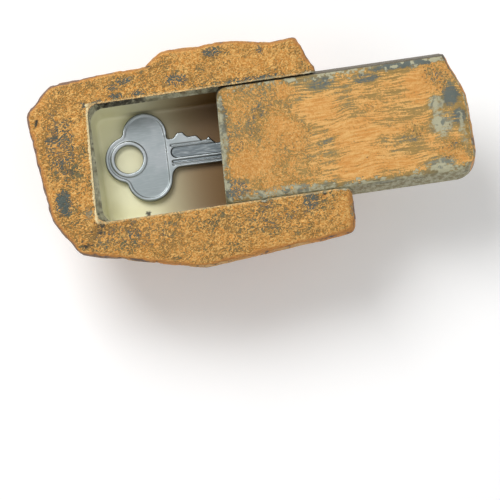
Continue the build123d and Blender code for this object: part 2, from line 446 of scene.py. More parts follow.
@dataclass
class StoneForm:
    """The whole stone before its slot is cut: planes, softened edges, a ledge and weathering."""

    height: float = 38.0  # underside to crown
    half_length: float = 45.0  # the length that the facets' reaches are shares of
    centre_height: float = 19.0  # the height that the skin's rays leave from
    softness: float = 70.0  # the power that blends the facets. A higher power makes sharper edges
    rim_softness: float = 16.0  # the power that blends the facets and the flat underside
    # The depth of the stone's girth below its underside, as a share of its height.
    girth: float = 6.0 / 38.0
    guide_radius: float = 37.0  # the radius of the drum that spreads the grid's rings
    lumps: Bumps = Bumps(0.17, 7.0, 3)  # the flank's low lumps
    dabs: Bumps = Bumps(0.09, 1.7, 2, 80.0)  # the flank's dabs of paint
    under_dabs: Bumps = Bumps(0.07, 2.0, 2, 120.0)  # the underside's dabs of paint
    hollow_size: float = 8.0  # the size of the chipped hollows
    hollow_depth: float = 0.28  # their depth
    wide_pit: float = 2.6  # the spacing of the casting's wide pits
    small_pit: float = 1.7  # the spacing of its small pits
    pit_depth: float = 0.38  # the pits' depth
    flank_sink: float = 0.12  # how far the flank's skin is sunk, so that its lumps stay in the stone
    under_sink: float = 0.08  # the same for the underside's skin
    rings: int = 196  # rings from the underside's middle to the crown's
    steps: int = 440  # points on a ring
    # The noise that the weathering is made of.
    noise: LatticeNoise = field(default_factory=lambda: LatticeNoise(11))

    def far_flank(self) -> Facet:
        """The flank that the ledge stands out of."""
        return Facet(93.0, 8.0, 0.582, self.girth)

    def facets(self) -> list[Facet]:
        """The flank's and the crown's faces and the chips between them, without the far flank."""
        girth = self.girth
        flank = [
            Facet(22, 12, 0.893, girth), Facet(0, 9, 0.924, girth), Facet(331, 14, 1.093, girth),
            Facet(275, 9, 0.72, girth), Facet(256, 15, 0.707, girth), Facet(213, 20, 0.938, girth),
            Facet(186, 14, 0.96, girth), Facet(132, 17, 0.945, girth),
        ]
        crown = [
            Facet(88, 58, 0.578, 0.632), Facet(264, 44, 0.633, 0.579), Facet(180, 52, 0.856, 0.526),
            Facet(222, 58, 0.689, 0.658), Facet(142, 60, 0.667, 0.684), Facet(4, 46, 0.844, 0.526),
            Facet(320, 50, 0.844, 0.579), Facet(44, 60, 0.733, 0.658),
        ]
        chips = [
            Facet(184, 33, 0.872, 0.479), Facet(234, 36, 0.76, 0.5), Facet(296, 28, 0.835, 0.447),
            Facet(345, 30, 0.99, 0.42), Facet(150, 38, 0.88, 0.4),
        ]
        return flank + crown + chips

    def ledge(self) -> list[Facet]:
        """The ledge's own faces, in place of the far flank."""
        girth = self.girth
        return [
            Facet(91, 6, 0.658, girth), Facet(79, 6, 0.711, girth), Facet(22, 14, 0.88, girth),
            Facet(127, 12, 0.591, girth), Facet(72, 64, 0.589, 0.25),
        ]

    def blemishes(self) -> list[Spot]:
        """The chips and lumps that the stone's edge has at known places."""
        return [
            Spot(-43, 14, 0.9, 1.6, -0.9), Spot(-33.5, -22.3, 2.4, 0.8, -0.7),
            Spot(34.6, 24.6, 1.8, 1.6, 0.5), Spot(36.4, 19.6, 1.6, 1.4, 0.4),
            Spot(17.2, -17.2, 0.9, 0.8, -0.7), Spot(34, -17.6, 0.7, 0.8, -0.8),
        ]

    def nicks(self) -> list[Nick]:
        """The nicks that are broken out of the flank."""
        return [
            Nick(147, 1.02, 0.132, 2.6), Nick(168, 1.053, 0.132, 2.6), Nick(175, 1.01, 0.171, 2.2),
            Nick(183, 1.002, 0.132, 2.4), Nick(199.5, 1.013, 0.132, 2.6), Nick(208, 0.989, 0.105, 2.4),
            Nick(110.5, 0.647, 0.132, 2.2), Nick(29.8, 0.938, 0.105, 2.2), Nick(164, 1.055, 0.316, 5),
            Nick(191, 1.008, 0.368, 5), Nick(252, 0.787, 0.21, 5),
        ]

    def centre(self) -> Array:
        """The point that the skin's rays leave from."""
        return np.array([0.0, 0.0, self.centre_height])

    def ray_length(self, directions: Array, facets: list[Facet]) -> Array:
        """How far each ray runs before it leaves the planes, with their edges softened.

        Args:
            directions: Unit vectors, with 3 coordinates last.
            facets: The planes, besides the underside and the crown.

        Returns:
            One length for each ray: with a = n.u / d for a plane's normal n, its distance d and the
            ray u, f = (sum of a^p over the facets and the crown)^(1/p) for the softness p, and the
            length is (f^q + a^q)^(-1/q) with the underside's a and the rim's softness q.
        """
        planes = [facet.plane(self.half_length, self.height, self.centre()) for facet in facets]
        planes.append((np.array([0.0, 0.0, -1.0]), self.centre_height))
        total = np.zeros(directions.shape[:-1])
        for normal, distance in planes:
            ahead = np.maximum(directions @ normal, 0.0) / distance
            total += (ahead * self.height) ** self.softness
        sides = total ** (1.0 / self.softness)
        under = np.maximum(directions[..., 2], 0.0) / (self.height - self.centre_height) * self.height
        power = self.rim_softness
        return self.height * (sides**power + under**power) ** (-1.0 / power)

    def form_ray(self, directions: Array) -> Array:
        """How far each ray runs inside the stone.

        Args:
            directions: Unit vectors, with 3 coordinates last.

        Returns:
            The longer of the main stone's ray and the ledge's, cut short by the nicks.
        """
        main = self.ray_length(directions, self.facets() + [self.far_flank()])
        layer = self.ray_length(directions, self.facets() + self.ledge())
        lengths = np.maximum(main, layer)
        for nick in self.nicks():
            middle = nick.middle(self.half_length, self.height) - self.centre()
            lengths = nick.scoop(directions, lengths, middle)
        return lengths

    def rough_grid(self) -> Array:
        """The grid's guide shape: a drum with a tapered foot, as wide as the stone at its girth.

        Returns:
            Points as [ring, step, coordinate]. Ring t of the guide lies on the path from the
            underside's middle, out to its edge, down the flank and in to the crown, and step s is
            at the bearing 2 pi s. The rings lie closer from the slot's width out to the crown's edge.
        """
        corners = np.array([[0.0, 1.0], [0.3, 1.0], [1.0, 1.0], [1.0, 0.45], [0.42, 0.0], [0.0, 0.0]])
        share_of_rings = [0.25, 1.0, 1.0, 1.0, 0.5]
        lengths = np.linalg.norm(np.diff(corners, axis=0) * [self.guide_radius, self.height], axis=1)
        stations = np.concatenate([[0.0], np.cumsum(lengths * share_of_rings)])
        along = (np.arange(self.rings) + 0.5) / self.rings * stations[-1]
        out = np.interp(along, stations, corners[:, 0])
        up = np.interp(along, stations, corners[:, 1]) * self.height
        bearing = 2.0 * math.pi * np.arange(self.steps) / self.steps
        level = np.stack([np.cos(bearing), np.sin(bearing), np.zeros(self.steps)], axis=-1)
        plan = out[:, None] * self.form_ray(level)[None]
        points = plan[..., None] * level[None]
        points[..., 2] = up[:, None]
        return points

    def nicked(self, points: Array) -> Array:
        """Where the skin is a nick's.

        Args:
            points: Places on the skin.

        Returns:
            1 inside the balls and just outside them, and 0 from the margin on.
        """
        margin, fade = 0.5, 0.4
        inside = []
        for nick in self.nicks():
            away = np.linalg.norm(points - nick.middle(self.half_length, self.height), axis=-1)
            inside.append(smooth_step(nick.radius + margin - away, 0.0, fade))
        return np.max(inside, axis=0)

    def pits(self, points: Array) -> Array:
        """Where the casting's small pits are.

        Args:
            points: Places on the skin.

        Returns:
            0 beside the pits and 1 at their bottom: the crests of two noises, cut off smoothly.
        """
        wide = smooth_step(self.noise.at(points + 40.0, self.wide_pit), 0.26, 0.62)
        small = smooth_step(self.noise.at(points - 60.0, self.small_pit), 0.34, 0.66)
        return np.maximum(wide, 0.7 * small)

    def weather(self, points: Array, normals: Array) -> Array:
        """How far each point of the skin sinks (below 0) or stands out, in mm.

        Args:
            points: Places on the smooth form.
            normals: The form's outward normals there.

        Returns:
            Low lumps, chipped hollows and small pits on the flank and the crown, and shallow
            dabs of paint on the underside, where nothing stands out of the flat face.
        """
        noise = self.noise
        flat = smooth_step(normals[..., 2], 0.86, 0.98)
        edge = smooth_step(normals[..., 2], 0.25, 0.75)
        hollows = smooth_step(noise.ridged(points, self.hollow_size, 3), 0.80, 0.97)
        sunk = -self.hollow_depth * hollows - self.pit_depth * self.pits(points)
        raised = self.lumps.over(noise, points)
        flank = raised + sunk * (1.0 - 0.8 * edge) + self.dabs.over(noise, points) - self.flank_sink
        under = self.under_dabs.over(noise, points) - self.under_sink
        marks = sum(spot.spread(points) for spot in self.blemishes())
        marks = marks * smooth_step(points[..., 2], self.height - 16.0, self.height - 8.0)
        return flank * (1.0 - flat) + under * flat + marks

    def skin(self) -> Surface:
        """The weathered skin of the whole stone.

        Returns:
            The closed surface of points C + r(u) u + w n, where C is the centre, u the ray through
            the guide shape's point, r the form's ray length, w the weathering and n the normal. It
            is held inside the CAD model's box.
        """
        guide = self.rough_grid() - self.centre()
        directions = guide / np.linalg.norm(guide, axis=-1, keepdims=True)
        form = self.centre() + self.form_ray(directions)[..., None] * directions
        along = np.gradient(form, axis=0)
        around = np.roll(form, -1, axis=1) - np.roll(form, 1, axis=1)
        normals = np.cross(around, along)
        normals *= np.sign(np.sum(normals * directions, axis=-1, keepdims=True))
        normals /= np.maximum(np.linalg.norm(normals, axis=-1, keepdims=True), 1e-9)
        grid = form + self.weather(form, normals)[..., None] * normals
        low, high = (np.array(corner) / METRES - STONE_ORIGIN for corner in CAD_BOX)
        grid = np.clip(grid, low, high)
        top = np.array([0.0, 0.0, float(grid[0, :, 2].mean())])
        bottom = np.array([0.0, 0.0, float(grid[-1, :, 2].mean())])
        return Surface.closed_grid(grid, top, bottom)


# ---- the slot and the pocket


@dataclass
class DovetailBar:
    """A bar with a dovetail section, carried along X, with rounded corners seen from above."""

    ARC_POINTS = 7
    CAP_SHRINK = np.linspace(0.03, 1.0, 40)[:-1, None, None]

    start: float  # where it starts on its centre line along X
    end: float  # where it ends on its centre line along X
    skew: float  # how far its ends are turned
    middle: float  # its centre line's Y
    top: float  # its top level
    floor: float  # its floor level
    top_half: float  # half its width at the top
    floor_half: float  # half its width at the floor
    start_radius: float  # the radius of its two corners at the start
    end_radius: float  # the radius of its two corners at the end
    edge_radius: float  # the radius along its long top edges
    step: float  # the mesh's spacing

    def section(self) -> Array:
        """The section as rows of (y, z) about the centre line, evenly spaced round its outline.

        Returns:
            Points along the trapezoid's four sides, with its top corners cut back to the curve
            (1-t)^2 A + 2t(1-t) B + t^2 C, where B is the corner and A and C lie a radius from it.
        """
        arc = np.linspace(0.0, 1.0, self.ARC_POINTS)[:, None]
        corners = []
        for side in (1.0, -1.0):
            corner = np.array([side * self.top_half, self.top])
            down = np.array([side * (self.floor_half - self.top_half), self.floor - self.top])
            inwards = np.array([-side, 0.0]) * self.edge_radius
            leg = down / np.linalg.norm(down) * self.edge_radius
            lower, upper = corner + leg, corner + inwards
            bend = (1 - arc) ** 2 * lower + 2 * arc * (1 - arc) * corner + arc**2 * upper
            corners.append(bend if side > 0 else bend[::-1])
        outline = np.concatenate([
            [[-self.floor_half, self.floor], [self.floor_half, self.floor]], corners[0], corners[1],
            [[-self.floor_half, self.floor]],
        ])
        return points_along(outline, np.arange(0.0, distances_along(outline)[-1], self.step))

    def surface(self) -> Surface:
        """The closed bar: the section carried along X, drawn in at both ends by the corner radii.

        Returns:
            The skin. At x from an end, the section's half width is less by r - sqrt(r^2 - (r - x)^2)
            for x under the corner radius r, and x grows by tan(skew) times the distance from the
            centre line. Each end is closed by rings that shrink to its middle.
        """
        section = self.section()
        level = (self.top + self.floor) / 2
        along = np.arange(self.start, self.end, self.step)
        inset = np.zeros(len(along))
        for radius, distance in ((self.start_radius, along - self.start),
                                 (self.end_radius, along[-1] - along)):
            gap = np.maximum(radius - distance, 0.0)
            inset += radius - np.sqrt(np.maximum(radius**2 - gap**2, 0.0))
        rings = np.empty((len(along), len(section), 3))
        rings[..., 0] = along[:, None]
        rings[..., 1] = section[None, :, 0] * (1.0 - inset / self.floor_half)[:, None]
        rings[..., 2] = section[None, :, 1] - level
        flat = np.array([0.0, 1.0, 1.0])
        start_cap = rings[0] * flat * self.CAP_SHRINK + rings[0] * (1.0 - flat)
        end_cap = rings[-1] * flat * self.CAP_SHRINK[::-1] + rings[-1] * (1.0 - flat)
        grid = np.concatenate([start_cap, rings, end_cap])
        grid[..., 0] += math.tan(math.radians(self.skew)) * grid[..., 1]
        grid += [0.0, self.middle, level]
        poles = [np.array([end, self.middle, level]) for end in (along[0], along[-1])]
        return Surface.closed_grid(grid, poles[0], poles[1])


@dataclass
class SlotAndCover:
    """The sizes that the slot, the pocket and the cover share, in mm."""

    CORNER_POINTS = 9
    LOOP_POINTS = 320
    WALL_RINGS = 22
    FOOT_RINGS = 7
    CAP_SHRINK = np.linspace(0.03, 1.0, 24)[:-1, None, None]
    SMALLEST_CORNER = 0.5

    height: float = 38.0  # the underside's level
    slot_end: float = -29.0  # the slot's inner end on its centre line, along X
    skew: float = 2.8  # how far the slot's inner end is turned
    middle: float = 0.2  # the slot's centre line, along Y
    depth: float = 6.6  # the slot's depth
    mouth: float = 33.3  # the slot's width at the underside
    flare: float = 1.9  # how much wider the slot is at its floor, on each side
    clearance: float = 0.3  # the cover's running clearance all round
    cover_end: float = 42.4  # how far the shut cover's outer end reaches, along X
    cover_corner: float = 3.0  # the radius of the cover's inner corners, seen from above
    outer_corner: float = 6.0  # the radius of the cover's outer corners, seen from above
    cover_edge: float = 1.5  # the radius along the cover's top edges
    drawn_out: float = 36.0  # how far the cover is drawn out at rest
    pocket_start: float = -26.9  # the pocket floor's inner end, along X
    pocket_length: float = 57.0  # the pocket floor's length
    pocket_width: float = 30.5  # the pocket floor's width
    pocket_depth: float = 10.0  # the pocket's depth below the slot's floor
    pocket_draft: float = 1.2  # how much wider the pocket is at its top, on each side
    pocket_corner: float = 3.0  # the radius of the pocket's corners, seen from above
    pocket_foot: float = 1.0  # the radius where the pocket's walls meet its floor
    overrun: float = 1.2  # how far the pocket's tool reaches above the slot's floor
    above: float = 2.0  # how far the slot's tool reaches above the underside
    beyond: float = 60.0  # how far the slot's tool reaches out past the stone, along X

    @property
    def slant(self) -> float:
        """How far the slot's inner end runs along X for each mm across: the skew's tangent."""
        return math.tan(math.radians(self.skew))

    def half_width(self, depth: Array | float) -> Array | float:
        """Half the slot's width at a depth below the underside."""
        return self.mouth / 2 + self.flare * depth / self.depth

    def slot_tool(self) -> Surface:
        """The slot's space, from above the underside to its floor and out past the stone."""
        bar = DovetailBar(
            start=self.slot_end, end=self.beyond, skew=self.skew, middle=self.middle,
            top=self.height + self.above, floor=self.height - self.depth,
            top_half=self.half_width(-self.above), floor_half=self.half_width(self.depth),
            start_radius=self.cover_corner + self.clearance, end_radius=1.0, edge_radius=0.2, step=0.5,
        )
        return bar.surface()

    def pocket_tool(self) -> Surface:
        """The pocket's space: a rounded rectangle carried down its drafted wall and across its floor.

        Returns:
            The closed skin. At a level z above the floor, the rounded rectangle is larger by
            draft * z / depth, and the inset at the foot follows a quarter circle.
        """
        half_x, half_y = self.pocket_length / 2, self.pocket_width / 2
        floor = self.height - self.depth - self.pocket_depth
        foot = self.pocket_foot
        wall = np.linspace(self.pocket_depth + self.overrun, foot, self.WALL_RINGS)
        turn = np.linspace(0.0, math.pi / 2, self.FOOT_RINGS)[1:]
        rise = np.concatenate([wall, foot - foot * np.sin(turn)])
        inset = np.concatenate([np.zeros(len(wall)), foot - foot * np.cos(turn)])
        inset -= self.pocket_draft * rise / self.pocket_depth
        rings = np.stack([self.rounded_loop(half_x - cut, half_y - cut, self.pocket_corner - cut)
                          for cut in inset])
        grid = np.concatenate([rings, rise[:, None, None] * np.ones((1, rings.shape[1], 1))], axis=-1)
        shrink, level = self.CAP_SHRINK, np.ones_like(self.CAP_SHRINK)
        floor_cap = grid[-1][None] * np.concatenate([shrink[::-1], shrink[::-1], level], axis=-1)
        top_cap = grid[0][None] * np.concatenate([shrink, shrink, level], axis=-1)
        shift = np.array([self.pocket_start + half_x, self.middle, floor])
        grid = np.concatenate([top_cap, grid, floor_cap]) + shift
        return Surface.closed_grid(grid, shift + [0.0, 0.0, rise[0]], shift)

    def rounded_loop(self, half_x: float, half_y: float, radius: float) -> Array:
        """A rounded rectangle's outline about the origin, as rows of (x, y), with corners never sharp.

        Args:
            half_x: Half its length.
            half_y: Half its width.
            radius: Its corner radius.

        Returns:
            Points evenly spaced along the four sides and the four quarter circles between them.
        """
        radius = max(radius, self.SMALLEST_CORNER)
        quarter = np.linspace(0.0, math.pi / 2, self.CORNER_POINTS)
        corners = []
        for turn, (side_x, side_y) in enumerate(((1, 1), (-1, 1), (-1, -1), (1, -1))):
            angle = quarter + turn * math.pi / 2
            centre = np.array([side_x * (half_x - radius), side_y * (half_y - radius)])
            corners.append(centre + radius * np.stack([np.cos(angle), np.sin(angle)], axis=-1))
        outline = np.concatenate(corners + [corners[0][:1]])
        length = distances_along(outline)[-1]
        return points_along(outline, np.linspace(0.0, length, self.LOOP_POINTS, endpoint=False))

    def cover_tool(self) -> Surface:
        """The cover's own bar, shut: the slot's section less the clearance, out to the flank."""
        gap = self.clearance
        bar = DovetailBar(
            start=self.slot_end + gap, end=self.cover_end, skew=self.skew, middle=self.middle,
            top=self.height - gap, floor=self.height - self.depth + gap,
            top_half=self.half_width(gap) - gap, floor_half=self.half_width(self.depth - gap) - gap,
            start_radius=self.cover_corner, end_radius=self.outer_corner,
            edge_radius=self.cover_edge, step=0.36,
        )
        return bar.surface()


# ---- the key's form


def circle_distance(points: Array, x: float, y: float, radius: float) -> Array:
    """How far points are outside a circle: |p - c| - r, below 0 inside it."""
    return np.hypot(points[..., 0] - x, points[..., 1] - y) - radius


def convex_distance(points: Array, corners: list[tuple[float, float]]) -> Array:
    """How far points are outside a convex outline: the largest of n.(p - a) over its edges.

    Args:
        points: Places with x and y last.
        corners: The outline's corners, counted anticlockwise.

    Returns:
        One distance for each point, below 0 inside the outline.
    """
    first = np.array(corners)
    edge = np.roll(first, -1, axis=0) - first
    normal = np.stack([edge[:, 1], -edge[:, 0]], axis=-1)
    normal /= np.linalg.norm(normal, axis=1, keepdims=True)
    return np.max(points @ normal.T - np.sum(first * normal, axis=1), axis=-1)


def joined(first: Array, second: Array, fillet: Array | float) -> Array:
    """Joins two outlines' distances, with their inner corner rounded by the fillet.

    Args:
        first: The distances outside the first outline.
        second: The distances outside the second outline.
        fillet: The radius f of the inner corner.

    Returns:
        max(f, min(a, b)) - |(max(f - a, 0), max(f - b, 0))|.
    """
    reach = np.hypot(np.maximum(fillet - first, 0.0), np.maximum(fillet - second, 0.0))
    return np.maximum(fillet, np.minimum(first, second)) - reach


@dataclass
class KeyForm:
    """The door key as a plate: its outline, its bordered bow, its milled grooves and its cuts.

    Lengths are in mm from the middle of the ring hole, with +X along the blade."""

    # Where the ring hole's middle lies in the stone's frame, on the pocket's floor.
    place: Triple = (-18.9, 2.35, 21.4)
    turn: float = -1.0  # how far the key is turned
    thickness: float = 2.2  # the blank's thickness
    ring_radius: float = 6.7  # the ring lobe's radius
    hole_radius: float = 4.0  # the ring hole's radius
    ring_rim: float = 1.1  # the width of the raised rim round the hole
    far_lobe: Triple = (5.2, 6.4, 6.3)  # the far lobe's middle and radius
    near_lobe: Triple = (5.3, -6.2, 6.5)  # the near lobe's middle and radius
    bow_length: float = 11.8  # from the ring hole's middle to the blade
    web_length: float = 9.8  # from the ring hole's middle to the end of the web between the lobes
    border: float = 0.9  # the width of the bow's raised border
    recess: float = 0.25  # the depth of the bow's panel
    notch_radius: float = 0.8  # the radius where the lobes meet
    blade_height: float = 8.4  # the blade's height
    blade_length: float = 30.8  # the blade's length
    blade_middle: float = 0.3  # the blade's centre line
    near_shoulder: float = 3.0  # the radius where the blade's lower edge leaves the bow
    far_shoulder: float = 0.9  # the radius where its upper edge leaves the bow
    # The stop's distance from the bow, its width at the foot and at the top, and its height.
    stop: tuple[float, float, float, float] = (3.4, 3.8, 1.6, 1.4)
    stop_fillet: float = 0.4  # the radius at the stop's foot
    tip: Triple = (3.2, 2.4, 1.0)  # the tip's length, and the height and the width of its point
    # The distance of the first cut, the cuts' pitch, their flat and their slope.
    bitting: tuple[float, float, float, float] = (10.0, 3.8, 1.2, 0.9)
    bit_depths: tuple[float, ...] = (1.6, 2.7, 0.9, 2.2, 1.4)  # the depth of each cut
    # The middle, the width and the depth of each groove on the upper face.
    grooves: tuple[Triple, ...] = ((2.2, 0.7, 0.3), (0.1, 3.2, 0.5), (-2.5, 0.8, 0.45), (-3.4, 0.5, 0.3))
    back_grooves: tuple[Triple, ...] = ((2.4, 1.0, 0.4), (-1.2, 3.0, 0.5))  # the same for the lower face
    edge_round: float = 0.32  # the radius of the blank's edges
    # Where the panel's wall starts and ends, from the border's inner edge.
    panel_wall: Range = (-0.12, 0.18)
    groove_wall: Range = (-0.1, 0.2)  # where a groove's wall starts and ends, from the groove's own edge
    groove_start: float = 0.3  # how far from the bow the grooves start
    overlap: float = 1.0  # how far the stop's outline reaches into the blade, and a cut's out of it
    half_span: float = 13.4  # half the width of the mesh's grid
    margin: float = 0.5  # how far the grid reaches past the key's ends
    step: float = 0.15  # the mesh's spacing

    def bow(self, points: Array, web_length: float) -> Array:
        """The distance outside the bow: three lobes, and the web that carries them to the blade.

        Args:
            points: Places on the plate.
            web_length: How far the web reaches towards the blade.

        Returns:
            One distance for each point, below 0 inside the bow.
        """
        far = circle_distance(points, *self.far_lobe)
        near = circle_distance(points, *self.near_lobe)
        web = convex_distance(points, [(0.0, self.near_lobe[1]), (web_length, self.near_lobe[1]),
                                       (web_length, self.far_lobe[1]), (0.0, self.far_lobe[1])])
        lobes = np.minimum(np.minimum(far, near), web)
        return joined(circle_distance(points, 0.0, 0.0, self.ring_radius), lobes, self.notch_radius)

    def blade(self, points: Array) -> Array:
        """The distance outside the blade, with its pointed tip, its stop and its cuts.

        Args:
            points: Places on the plate.

        Returns:
            One distance for each point, below 0 inside the blade.
        """
        lower = self.blade_middle - self.blade_height / 2
        upper = self.blade_middle + self.blade_height / 2
        end = self.bow_length + self.blade_length
        tip_length, tip_height, tip_flat = self.tip
        blank = convex_distance(points, [
            (self.bow_length / 2, lower), (end - tip_length, lower), (end, lower + tip_height),
            (end, lower + tip_height + tip_flat), (end - tip_length, upper), (self.bow_length / 2, upper)])
        distance, foot, top, height = self.stop
        middle = self.bow_length + distance
        stop = convex_distance(points, [
            (middle - foot / 2, upper - self.overlap), (middle + foot / 2, upper - self.overlap),
            (middle + foot / 2, upper), (middle + top / 2, upper + height),
            (middle - top / 2, upper + height), (middle - foot / 2, upper)])
        blank = joined(blank, stop, self.stop_fillet)
        first, pitch, flat, slope = self.bitting
        for number, depth in enumerate(self.bit_depths):
            centre = self.bow_length + first + number * pitch
            foot, mouth = flat / 2, flat / 2 + (depth + self.overlap) * slope
            cut = convex_distance(points, [
                (centre - foot, upper - depth), (centre + foot, upper - depth),
                (centre + mouth, upper + self.overlap), (centre - mouth, upper + self.overlap)])
            blank = np.maximum(blank, -cut)
        return blank

    def outline(self, points: Array) -> Array:
        """The distance outside the whole key, with its shoulders rounded and its hole open.

        Args:
            points: Places on the plate.

        Returns:
            The bow's and the blade's distances joined, or the depth inside the hole where it's more.
        """
        shoulder = np.where(points[..., 1] > self.blade_middle, self.far_shoulder, self.near_shoulder)
        solid = joined(self.bow(points, self.web_length), self.blade(points), shoulder)
        return np.maximum(solid, -circle_distance(points, 0.0, 0.0, self.hole_radius))

    def face_height(self, points: Array, grooves: tuple[Triple, ...]) -> Array:
        """How far one face stands from the plate's middle plane.

        Args:
            points: Places on the plate.
            grooves: The grooves of that face.

        Returns:
            Half the thickness, less a quarter circle along the edges, the bow's panel and the
            grooves, each a smooth step of the distance to its own outline.
        """
        inside = np.clip(-self.outline(points), 0.0, self.edge_round)
        rounding = self.edge_round - np.sqrt(self.edge_round**2 - (self.edge_round - inside) ** 2)
        start, end = self.panel_wall
        rim = self.hole_radius + self.ring_rim
        panel = smooth_step(-self.bow(points, self.bow_length), self.border + start, self.border + end)
        panel *= smooth_step(np.hypot(points[..., 0], points[..., 1]), rim + start, rim + end)
        depth = self.recess * panel
        for middle, width, groove_depth in grooves:
            past = np.maximum(self.bow_length + self.groove_start + width / 2 - points[..., 0], 0.0)
            wall = np.hypot(past, points[..., 1] - self.blade_middle - middle) - width / 2
            depth = np.maximum(depth, groove_depth * smooth_step(-wall, *self.groove_wall))
        return self.thickness / 2 - rounding - depth

    def settle(self, points: Array) -> Array:
        """Moves points onto the outline.

        Args:
            points: Places near the outline.

        Returns:
            The places after three steps of p - d g / g.g, where d is the distance outside the
            outline and g its slope.
        """
        steps, nudge, least_square = 3, 1e-3, 0.25
        for _ in range(steps):
            slope = np.stack([self.outline(points + np.array(axis) * nudge)
                              - self.outline(points - np.array(axis) * nudge)
                              for axis in ((1.0, 0.0), (0.0, 1.0))], axis=-1) / (2 * nudge)
            square = np.maximum(np.sum(slope**2, axis=-1, keepdims=True), least_square)
            points = points - self.outline(points)[..., None] * slope / square
        return points

    def plan(self) -> tuple[Array, Array, Array, Array]:
        """The flat mesh of the outline.

        Returns:
            The points, the quads, the triangles and the border's sides. The points are a square
            grid inside the outline, and those on the border are moved onto the outline.
        """
        end = self.bow_length + self.blade_length + self.margin
        reach_x = np.arange(-self.ring_radius - self.margin, end, self.step)
        reach_y = np.arange(-self.half_span, self.half_span, self.step)
        grid = np.stack(np.meshgrid(reach_x, reach_y, indexing="ij"), axis=-1)
        kept = self.outline(grid) < self.step / 2
        index = np.arange(kept.size).reshape(kept.shape)
        cells = np.stack([index[:-1, :-1], index[1:, :-1], index[1:, 1:], index[:-1, 1:]], axis=-1)
        cells = cells.reshape(-1, 4)
        whole = kept.ravel()[cells]
        quads = cells[whole.sum(axis=1) == 4]
        partial = whole.sum(axis=1) == 3
        triangles = cells[partial][whole[partial]].reshape(-1, 3)
        used, flat = np.unique(np.concatenate([quads.ravel(), triangles.ravel()]), return_inverse=True)
        quads, triangles = flat[: quads.size].reshape(-1, 4), flat[quads.size:].reshape(-1, 3)
        points = grid.reshape(-1, 2)[used]
        sides = np.concatenate([np.stack([face, np.roll(face, -1, axis=1)], axis=-1).reshape(-1, 2)
                                for face in (quads, triangles)])
        _, first, count = np.unique(np.sort(sides, axis=1), axis=0, return_index=True, return_counts=True)
        border = sides[first[count == 1]]
        edge = np.unique(border)
        points[edge] = self.settle(points[edge])
        return points, quads, triangles, border

    def surface(self) -> Surface:
        """The closed plate, in the stone's frame.

        Returns:
            The flat mesh used twice, at the two faces' heights, with a wall between their borders.
            The whole is turned by the key's turn and laid at its place.
        """
        points, quads, triangles, border = self.plan()
        count = len(points)
        upper = np.column_stack([points, self.face_height(points, self.grooves)])
        lower = np.column_stack([points, -self.face_height(points, self.back_grooves)])
        wall = np.column_stack([border[:, 1], border[:, 0], border[:, 0] + count, border[:, 1] + count])
        all_points = np.concatenate([upper, lower])
        all_quads = np.concatenate([quads, quads[:, ::-1] + count, wall])
        all_triangles = np.concatenate([triangles, triangles[:, ::-1] + count])
        turn = math.radians(self.turn)
        spin = np.array([[math.cos(turn), -math.sin(turn), 0.0], [math.sin(turn), math.cos(turn), 0.0],
                         [0.0, 0.0, 1.0]])
        placed = all_points @ spin.T + self.place + [0.0, 0.0, self.thickness / 2]
        return Surface(placed, all_quads, all_triangles)


# ---- shader toolbox


@dataclass(frozen=True)
class Pattern:
    """A noise pattern of the paint."""

    scale: float  # how many patches it has to the mm
    detail: float = 3.0  # how many finer layers it has
    roughness: float = 0.5  # how strong its finer layers are
    distortion: float = 0.0  # how far its patches curl
    shift: Triple = (0.0, 0.0, 0.0)  # how far it is moved, so that no two patterns repeat each other
    stretch: Triple = (1.0, 1.0, 1.0)  # how many times longer its patches are along X, Y and Z
    turn: float = 0.0  # how far it is turned about Z, in radians


